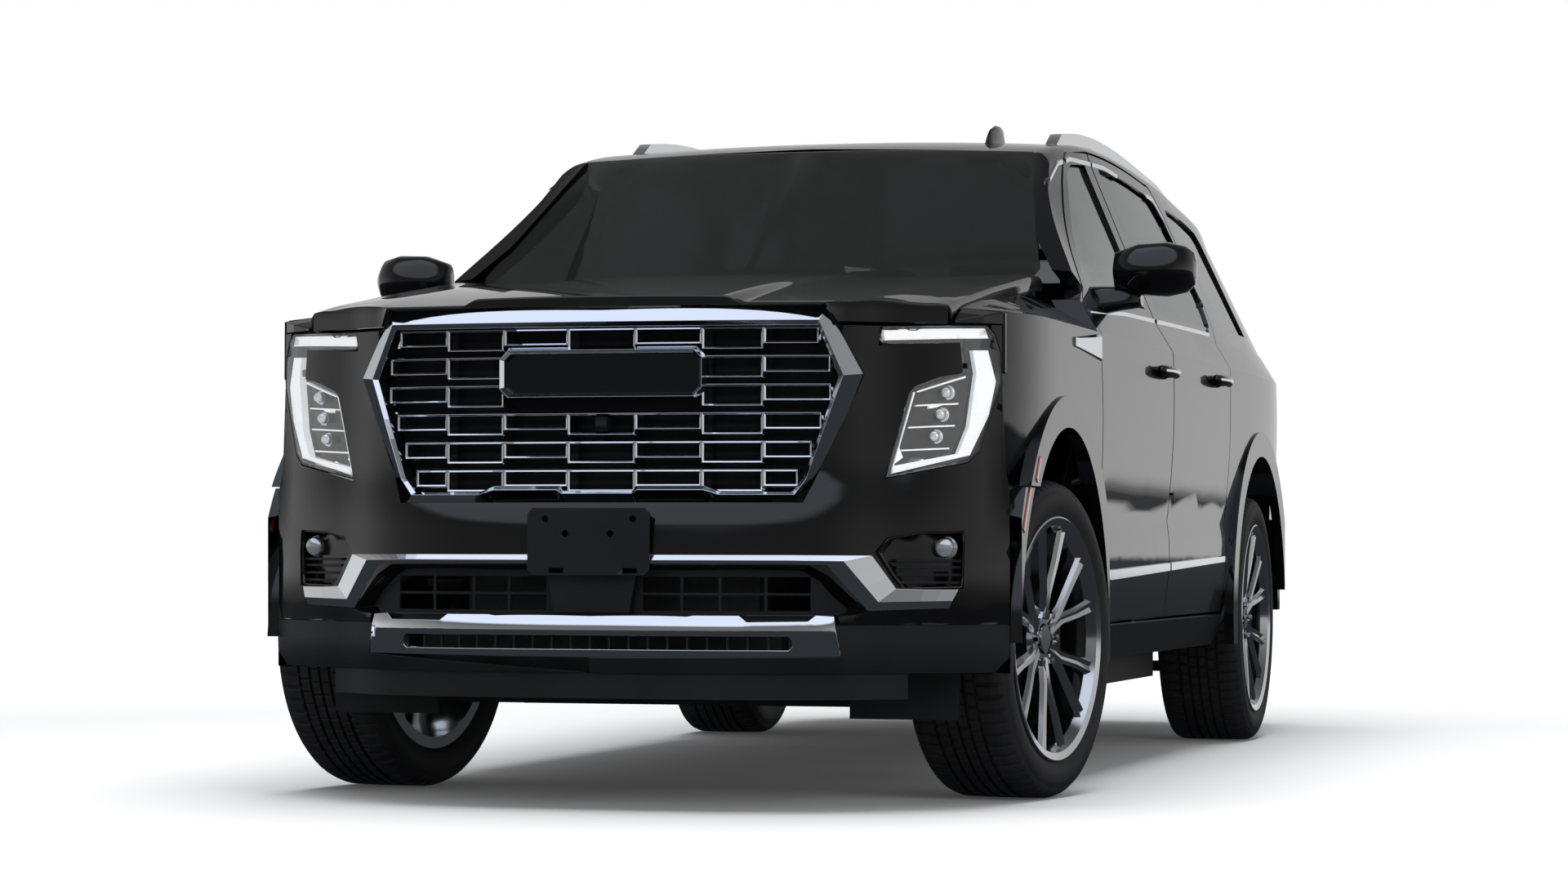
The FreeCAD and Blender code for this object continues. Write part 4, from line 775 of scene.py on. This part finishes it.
# Each row's windows, from the middle out, as (near, far, height, taper); the frame's side bounds the last.
cells = []
for level in range(6):
    top = 1205 - 71 * level
    frame_side = min(np.interp(up, (795, 832, 1082, 1208), (494, 524, 606, 556)) for up in (top, top - 39))
    for x0, x1, tall, taper in ((-87, 87, 52, 18), (90, 258, 39, 13), (262, 414, 52, 17),
                                (418, frame_side - 6, 39, 12)):
        for side in (1, -1) if x0 > 0 else (1,):
            low, high = sorted((x0 * side, x1 * side))
            behind_badge = low > -262 and high < 262 and 1026 < top - tall / 2 < 1159
            if not behind_badge:
                cells.append((low, high, top - tall, top, taper))
cells = np.array(cells)
# Round each window run five lines of (inset, depth); the last lies in by the window's own taper.
corner_x, corner_up = np.array([0, 1, 1, 0]), np.array([0, 0, 1, 1])
lines = []
for inset, deep in ((-4.5, 60), (-4.5, 34), (-0.5, 24), (4.0, 28), (None, 60)):
    pull, drop = (cells[:, 4, None], 6.5) if inset is None else (inset, inset)
    x = np.where(corner_x, cells[:, 1, None] - pull, cells[:, 0, None] + pull)
    up = np.where(corner_up, cells[:, 3, None] - drop, cells[:, 2, None] + drop)
    lines.append(laid(np.stack([x, up], -1), grille_at, deep))
lattice = np.stack(lines, 2).reshape(-1, 3)
window = weave(4, 5, ring_rows=True, ring_columns=True)
lattice_faces = (window[None] + 20 * np.arange(len(cells))[:, None, None]).reshape(-1, 4)
fit("grille_windows", (lattice, lattice_faces), chrome_plate, "vehicle", "grille_lattice",
    edge=0.0012, smooth=False)
badge_outer = [(0, 1159), (130, 1159), (247, 1159), (273, 1133), (273, 1052), (247, 1026), (130, 1026),
               (0, 1026)]
badge_inner = [(0, 1142), (130, 1142), (240, 1142), (256, 1126), (256, 1059), (240, 1043), (130, 1043),
               (0, 1043)]
badge_frame = framing(badge_outer, badge_inner, [(0, 26), (0.45, 6), (1, 18), (1, 58), (0, 58)])
fit("badge_frame", badge_frame, chrome_plate, "vehicle", edge=0.001, smooth=False)
smoked_chrome = material("smoked_black_chrome", Base_Color="#3a3c40", Metallic=1.0, Roughness=0.18)
pattern(smoked_chrome, "Noise", 60.0, depth=0.00002)
badge_half = [(0, 1146), (244, 1146), (259, 1128), (259, 1057), (244, 1039), (0, 1039)]
badge_plate = sheet(across(badge_half), grille_at, 34)
fit("badge_plate_bare", badge_plate, smoked_chrome, "vehicle", thick=0.004)
shutter = material("black_grille_shutter", Base_Color="#050506", Roughness=0.7)
pattern(shutter, "Wave", 9.0, depth=0.004, bands_direction="Z")
shutter_half = [(0, 1206), (560, 1206), (608, 1082), (526, 830), (494, 794), (0, 794)]
shutter_sheet = sheet(across(shutter_half), grille_at, 78)
fit("grille_shutter", shutter_sheet, shutter, "vehicle", thick=0.003)
camera_box = block(oblong(-16, 16, 948, 984), -848.0, -796.0)
fit("grille_camera", camera_box, shutter, "vehicle", edge=0.003, smooth=False)


# Head and fog lamps
# Brown-black trays under clear polycarbonate, with frosted acrylic light guides that glow white:
# a bar along the top, a C down the outer side, and three small lenses on shelves between them.
def see_through(name, tint):
    """A clear or tinted glass or plastic."""
    return material(name, Base_Color=tint, Roughness=0.0, IOR=1.5, Transmission_Weight=1.0)


bezel = material("black_lamp_bezel", Roughness=0.24, Coat_Weight=0.5, Coat_Roughness=0.05)
pattern(bezel, "Noise", 14.0, colours=("#0a0808", "#1b1615"))
light_guide = material("frosted_acrylic_light_guide", Base_Color="#f2f3f4", Roughness=0.35, Coat_Weight=1.0,
                       Coat_Roughness=0.03, Emission_Color="#f4f6f8", Emission_Strength=0.5)
pattern(light_guide, "Wave", 40.0, depth=0.0003, bands_direction="Z")
clear_cover = see_through("clear_polycarbonate", "#f4f5f6")


def drawn_in(path, share):
    """An outline drawn in towards its middle, to a share of its size."""
    path = np.array(path, float)
    return path.mean(0) + (path - path.mean(0)) * share


def tray(path, curve, rim, floor_deep, share):
    """A lamp tray: its outline, a lip inside it, and a floor sunk behind a plan curve."""
    line = dense(path)
    foot = share * 0.99
    walls = ((1, floor_deep + 12), (1, rim), (share, rim), (foot, floor_deep))
    sides = rings(np.stack([laid(drawn_in(line, size), curve, deep) for size, deep in walls]), caps=False)
    return joined(sides, sheet(drawn_in(path, foot), curve, floor_deep))


def plates(paths, curve, deep):
    """Several outlines filled and laid at one depth behind a plan curve."""
    return joined(*[sheet(path, curve, deep, step=20.0) for path in paths])


guide_line = [(900, 1152), (933, 1153), (950, 1075), (935, 990), (894, 889), (718, 842), (725, 862),
              (868, 893), (892, 961), (908, 1095)]
strip_line = [(699, 1201), (926, 1208), (934, 1183), (702, 1174)]
shelves = [[(left, up - 2), (right, up + 4), (right, up + 8), (left, up + 2)]
           for left, right, up in ((773, 868, 1012), (755, 860, 957), (740, 848, 900))]
pod_edges = [[(773, 1048), (777, 1045), (884, 1083), (884, 1088)],
             [(766, 1046), (770, 1046), (722, 862), (717, 850)]]
for name, shape, finish, thick in (
        ("headlamp_trays", tray(lamp_line, cheek_at, 3, 44, 0.955), bezel, 0),
        ("fog_trays", tray(fog_line, nose_at, 8, 46, 0.93), bezel, 0),
        ("light_guides", plates([guide_line, strip_line], cheek_at, 9), light_guide, 0.02),
        ("lamp_shelves", plates(shelves + pod_edges, cheek_at, 14), light_guide, 0.012),
        ("headlamp_covers", plates([drawn_in(lamp_line, 0.985)], cheek_at, 1.2), clear_cover, 0.0015)):
    replaced = "front_lamps" if name == "headlamp_trays" else ""
    fit(name, two_handed(*shape), finish, "vehicle", replaced, thick=thick)


def lens(x, up, curve, behind, radius, bulge, deep):
    """A round lens, so far behind a plan curve: a dome of eight rings on a straight barrel."""
    out = np.linspace(0.001, 1, 8) * np.pi / 2
    dome = np.stack([radius * np.sin(out), -bulge * np.cos(out)], -1)
    profile = np.concatenate([dome, [[radius, deep], [radius + 5, deep]]])
    turn = np.arange(24) * np.pi / 12
    reach, back = profile[:, :1], profile[:, 1:]
    face = float(curve(np.array(float(x)))) + behind
    return rings(spot(x + reach * np.cos(turn), face + back, up + reach * np.sin(turn)), caps=False)


modules = [lens(x, up, cheek_at, 20, 13, 8, 22) for x, up in ((839, 1046), (826, 991), (812, 936))]
fog = lens(840, 658, nose_at, 18, 23, 9, 26)
lens_glass = material("projector_lens_glass", Base_Color="#c9ccd0", Roughness=0.04, Metallic=0.7,
                      Coat_Weight=1.0, Coat_Roughness=0.0)
pattern(lens_glass, "Wave", 30.0, depth=0.0004, wave_type="RINGS")
fit("lamp_lenses", two_handed(*joined(*modules, fog)), lens_glass, "vehicle")
ribs = [oblong(736, 879, low, high) for low, high in ((622, 628), (606, 612), (587, 593), (568, 574))]
fog_ribs = two_handed(*plates(ribs, nose_at, 16))
fit("fog_ribs", fog_ribs, grained_black, "vehicle", thick=0.02)


# Mirrors and aerial fin
# Moulded shells in the body's black: a rounded housing on a foot at each front door, its glass silvered
# behind, and a fin glued to the roof.
def rounded(path, times=2):
    """A closed path with its corners cut: each run keeps only its middle half, so many times over."""
    path = np.asarray(path, float)
    for _ in range(times):
        after = np.roll(path, -1, axis=0)
        path = np.stack([0.75 * path + 0.25 * after, 0.25 * path + 0.75 * after], 1).reshape(-1, 2)
    return path


# The housing runs outwards through sections of (half width, front, back, low, high).
housing = []
for x, front, back, low, high in (
        (1000.0, 746, 832, 1402, 1486), (1004.0, 728, 838, 1390, 1498), (1070.0, 704, 852, 1372, 1522),
        (1150.0, 706, 862, 1368, 1526), (1200.0, 732, 866, 1380, 1514), (1222.0, 766, 864, 1402, 1494),
        (1226.0, 800, 858, 1424, 1472)):
    middle, rise = (low + high) / 2, (high - low) / 2
    line = rounded([(back, middle), (back - 4, middle + 0.9 * rise), (back - 50, high),
                    (front + 34, middle + 0.86 * rise), (front, middle), (front + 30, middle - 0.9 * rise),
                    (back - 50, low), (back - 4, middle - 0.9 * rise)])
    housing.append(spot(x, line[:, 0], line[:, 1]))
foot_line = rounded([(740, 1318), (842, 1318), (846, 1350), (830, 1400), (752, 1400), (736, 1350)])
foot_middle = np.array([790, 1390])
foot = [spot(x, *(foot_line * k + (1 - k) * foot_middle).T)
        for x, k in ((930.0, 1.0), (975.0, 0.94), (1020.0, 0.82), (1075.0, 0.7))]
glass_line = rounded([(1021, 1393), (1205, 1396), (1212, 1450), (1205, 1500), (1021, 1503)])
mirror_glass = block(glass_line, 862.0, 867.5)
silvered = material("silvered_mirror_glass", Base_Color="#c8ccd2", Metallic=1.0, Roughness=0.02)
pattern(silvered, "Noise", 12.0, depth=0.000001)
for side, hand in (("left", 1), ("right", -1)):
    for part, (points, faces), finish in (("housing", joined(rings(housing), rings(foot)), black_enamel),
                                          ("glass", mirror_glass, silvered)):
        replaced = "mirror_" + side if part == "housing" else ""
        fit("mirror_%s.%s" % (side, part), (points * (hand, 1, 1), faces), finish, body_of["mirror_" + side],
            replaced)
fin = []
for s, half, up in ((1440, 3, 1882), (1452, 5, 1908), (1490, 8, 1930), (1560, 10, 1948), (1625, 10, 1952),
                    (1660, 8, 1946), (1668, 6, 1936)):
    x = 485 + np.array([-half - 10, -half - 4, -half * 0.6, 0, half * 0.6, half + 4, half + 10.0])
    waist = up * 0.4 + 1862 * 0.6
    fin.append(spot(x, s, np.array([1862, waist, up - 6, up, up - 6, waist, 1862.0])))
fit("aerial_fin_shell", rings(fin), black_enamel, "vehicle", "aerial_fin")


# Door handles
# Pull handles moulded in the body's black, screwed to each door through two feet, with a plated strip
# let into the grip.
def side_shape(rows):
    """Rings of (s, x, height) places in millimetres along the car's left side."""
    s, x, up = np.moveaxis(np.array(rows, float), -1, 0)
    return rings(spot(x, s, up))


for place, s, up in (("front", 1330.0, 1185.0), ("rear", 2350.0, 1200.0)):
    grip = side_shape([[(s + a, x - 12, up - k), (s + a, x, up - k * 0.6), (s + a, x, up + k * 0.6),
                        (s + a, x - 12, up + k), (s + a, x - 16, up)]
                       for a, x, k in ((0, 1042, 12), (8, 1050, 16), (60, 1060, 17), (135, 1063, 17),
                                       (210, 1060, 17), (262, 1050, 16), (270, 1042, 12))])
    feet = [side_shape([[(s + a, x, up - 12), (s + a + 36, x, up - 12), (s + a + 36, x, up + 12),
                         (s + a, x, up + 12)] for x in (1000.0, 1048.0)]) for a in (6.0, 228.0)]
    inlay = side_shape([[(s + a, x + 2, up - 3), (s + a, x + 2, up + 4), (s + a, x - 3, up + 4),
                         (s + a, x - 3, up - 3)]
                        for a, x in ((14, 1051), (60, 1060), (135, 1063), (210, 1060), (256, 1051))])
    for hand, side in ((1, "left"), (-1, "right")):
        for part, (points, faces), finish in (("grip", joined(grip, *feet), black_enamel),
                                              ("strip", inlay, chrome_plate)):
            fit("handle_%s_%s.%s" % (place, side, part), (points * (hand, 1, 1), faces), finish,
                body_of["door_%s_%s" % (place, side)], smooth=part == "grip")


# Side brightwork
# Plated strips clipped along the side windows and low on the doors; a bare plated badge on each fender
# and an amber marker beside each headlamp. Each follows the panel it sits on, found by casting rays at it.
carriers = ("door_front_left", "door_rear_left", "body_side_left", "front_fenders", "front_bumper")
panels = {}
for node in carriers:
    mesh = frame["nodes"][node].data
    places = np.empty(len(mesh.vertices) * 3)
    mesh.vertices.foreach_get("co", places)
    faces = [tuple(face.vertices) for face in mesh.polygons]
    panels[node] = BVHTree.FromPolygons(places.reshape(-1, 3).tolist(), faces)


def carried(path, only):
    """For each (s, height) place on the left side, the outermost panel's half width there and its name."""
    inwards = Vector((-1, 0, 0))
    found = []
    for s, up in path:
        start = Vector((1.4, (s - front_axle) / 1000, up / 1000))
        hits = [(panels[node].ray_cast(start, inwards)[0], node) for node in carriers if node in only]
        outer = [(hit.x * 1000, node) for hit, node in hits if hit and hit.x > 0.6]
        found.append(max(outer, default=(0.0, "")))
    return found


def side_band(name, path, width, rise, closed=False, finish=chrome_plate, only=carriers):
    """A strip along a path of (s, height) places, cut where one panel ends, on both sides of the car."""
    line = dense(path, 22.0, closed)
    if closed:
        line = np.concatenate([line, line[:1]])
    ahead = np.gradient(line, axis=0)
    normal = np.stack([-ahead[:, 1], ahead[:, 0]], -1) / np.linalg.norm(ahead, axis=1)[:, None]
    wide = np.interp(np.arange(len(line)), (0, len(line) - 1), np.broadcast_to(width, 2))
    found = carried(line, only)
    owners = [node for x, node in found]
    breaks = [0] + [k for k in range(1, len(line)) if owners[k] != owners[k - 1]] + [len(line)]
    for part, (a, b) in enumerate(zip(breaks, breaks[1:])):
        if b - a < 3 or not owners[a]:
            continue
        x = np.array([value for value, node in found[a:b]])[:, None]
        off = np.array([-0.5, -0.36, 0.36, 0.5]) * wide[a:b, None]
        s, up = (line[a:b, [c]] + normal[a:b, [c]] * off for c in (0, 1))
        points, faces = rings(spot(x + rise * np.array([-0.6, 1, 1, -0.6]), s, up))
        for hand, side in ((1, "left"), (-1, "right")):
            body = body_of[owners[a].replace("_left", "_" + side)]
            fit("%s_%s_%d" % (name, side, part), (points * (hand, 1, 1), faces), finish, body,
                smooth=False)


side_band("window_strip", [(402, 1310), (412, 1446), (625, 1553), (934, 1696), (1185, 1791), (1369, 1821),
                           (1850, 1838), (2239, 1824), (2664, 1807), (2741, 1745), (2764, 1673), (2858, 1480),
                           (2703, 1362), (2067, 1355), (1145, 1340)], 17.0, 3.0, closed=True)
side_band("door_strip", [(596, 588), (696, 582), (2694, 624), (2740, 626)], (37.0, 25.0), 6.0)
side_band("fender_badge", [(96, 1208), (160, 1208), (470, 1209)], (30.0, 84.0), 5.0,
          only=("front_fenders", "body_side_left"))
amber = material("amber_acrylic", Roughness=0.12, Coat_Weight=1.0)
pattern(amber, "Wave", 60.0, colours=("#7a2a06", "#b4480e"), bands_direction="Z")
side_band("side_marker", [(-392, 887), (-470, 790), (-535, 700)], 20.0, 3.0, finish=amber,
          only=("front_fenders", "front_bumper"))


# Cowl and rockers
# Injection-moulded black polypropylene, grained and dull, clipped under the windshield and the doors.
for node in ("cowl", "rocker_mouldings"):
    dress(node, grained_black)


# Glass and tail lamps
# Tempered and laminated soda-lime glass, 5 mm thick, bonded in: dark at the front and behind the front
# doors, pale in them. The tail lamps are covered in red acrylic.
windshield_glass = see_through("grey_tinted_glass", "#3c403f")
privacy_glass = see_through("privacy_tinted_glass", "#5a6064")
pale_glass = see_through("lightly_tinted_glass", "#a9afad")
dress("windshield", windshield_glass)
for node in ("glass_front_left", "glass_front_right"):
    dress(node, pale_glass)
for node in ("glass_rear_left", "glass_rear_right", "quarter_glass", "liftgate_glass"):
    dress(node, privacy_glass)
red_lens = material("red_acrylic", Base_Color="#7a0c10", Roughness=0.08, Coat_Weight=1.0)
dress("tail_lamps", red_lens)


# Cabin
# A dashboard and wheel in soft black mouldings, and black leather seats over foam, seen through the
# glass: each seat is a cushion, a backrest and head restraints, bolted to the floor.
soft_moulding = material("soft_touch_moulding", Base_Color="#1b1b1d", Roughness=0.6)
for node in ("dashboard", "steering_wheel"):
    dress(node, soft_moulding)
seat_leather = material("black_leather", Base_Color="#222123", Roughness=0.45)
pattern(seat_leather, "Voronoi", 380.0, depth=0.0003, strength=0.6)


def pillow(x0, x1, outline):
    """A padded block: a rounded side outline of (s, height) places, drawn in towards both of its ends."""
    line = rounded(outline, 3)
    near = ((0, 0.8), (8, 0.93), (34, 0.99), (70, 1))
    ends = [(x0 + off, share) for off, share in near] + [(x1 - off, share) for off, share in near[::-1]]
    return rings([spot(x, *drawn_in(line, share).T) for x, share in ends])


# Each row of seats has a station, places across, a half width, the height of its floor and of its back.
seat_rows = ((1180.0, (400.0, -400.0), 265.0, 500.0, 880.0), (2080.0, (400.0, -400.0), 265.0, 500.0, 880.0),
             (2950.0, (0.0,), 640.0, 750.0, 740.0))
pads = []
for s, middles, half, base, rise in seat_rows:
    top = base + rise
    cushion = [(s, base + 112), (s - 8, base + 250), (s + 60, base + 288), (s + 300, base + 268),
               (s + 500, base + 262), (s + 518, base + 112)]
    back = [(s + 474, base + 250), (s + 520, base + 150), (s + 590, base + 170), (s + 700, base + 560),
            (s + 756, top - 20), (s + 730, top), (s + 664, top), (s + 600, base + 600)]
    head = [(s + 664, top + 16), (s + 782, top + 16), (s + 784, top + 120), (s + 756, top + 168),
            (s + 690, top + 166), (s + 662, top + 90)]
    head_places = (0.0,) if half < 300 else (-400.0, 0.0, 400.0)
    for x in middles:
        pads += [pillow(x - half, x + half, cushion), pillow(x - half, x + half, back)]
        pads += [pillow(x + off - 130, x + off + 130, head) for off in head_places]
seats = fit("leather_seats", joined(*pads), seat_leather, body_of["seats"], "seats")
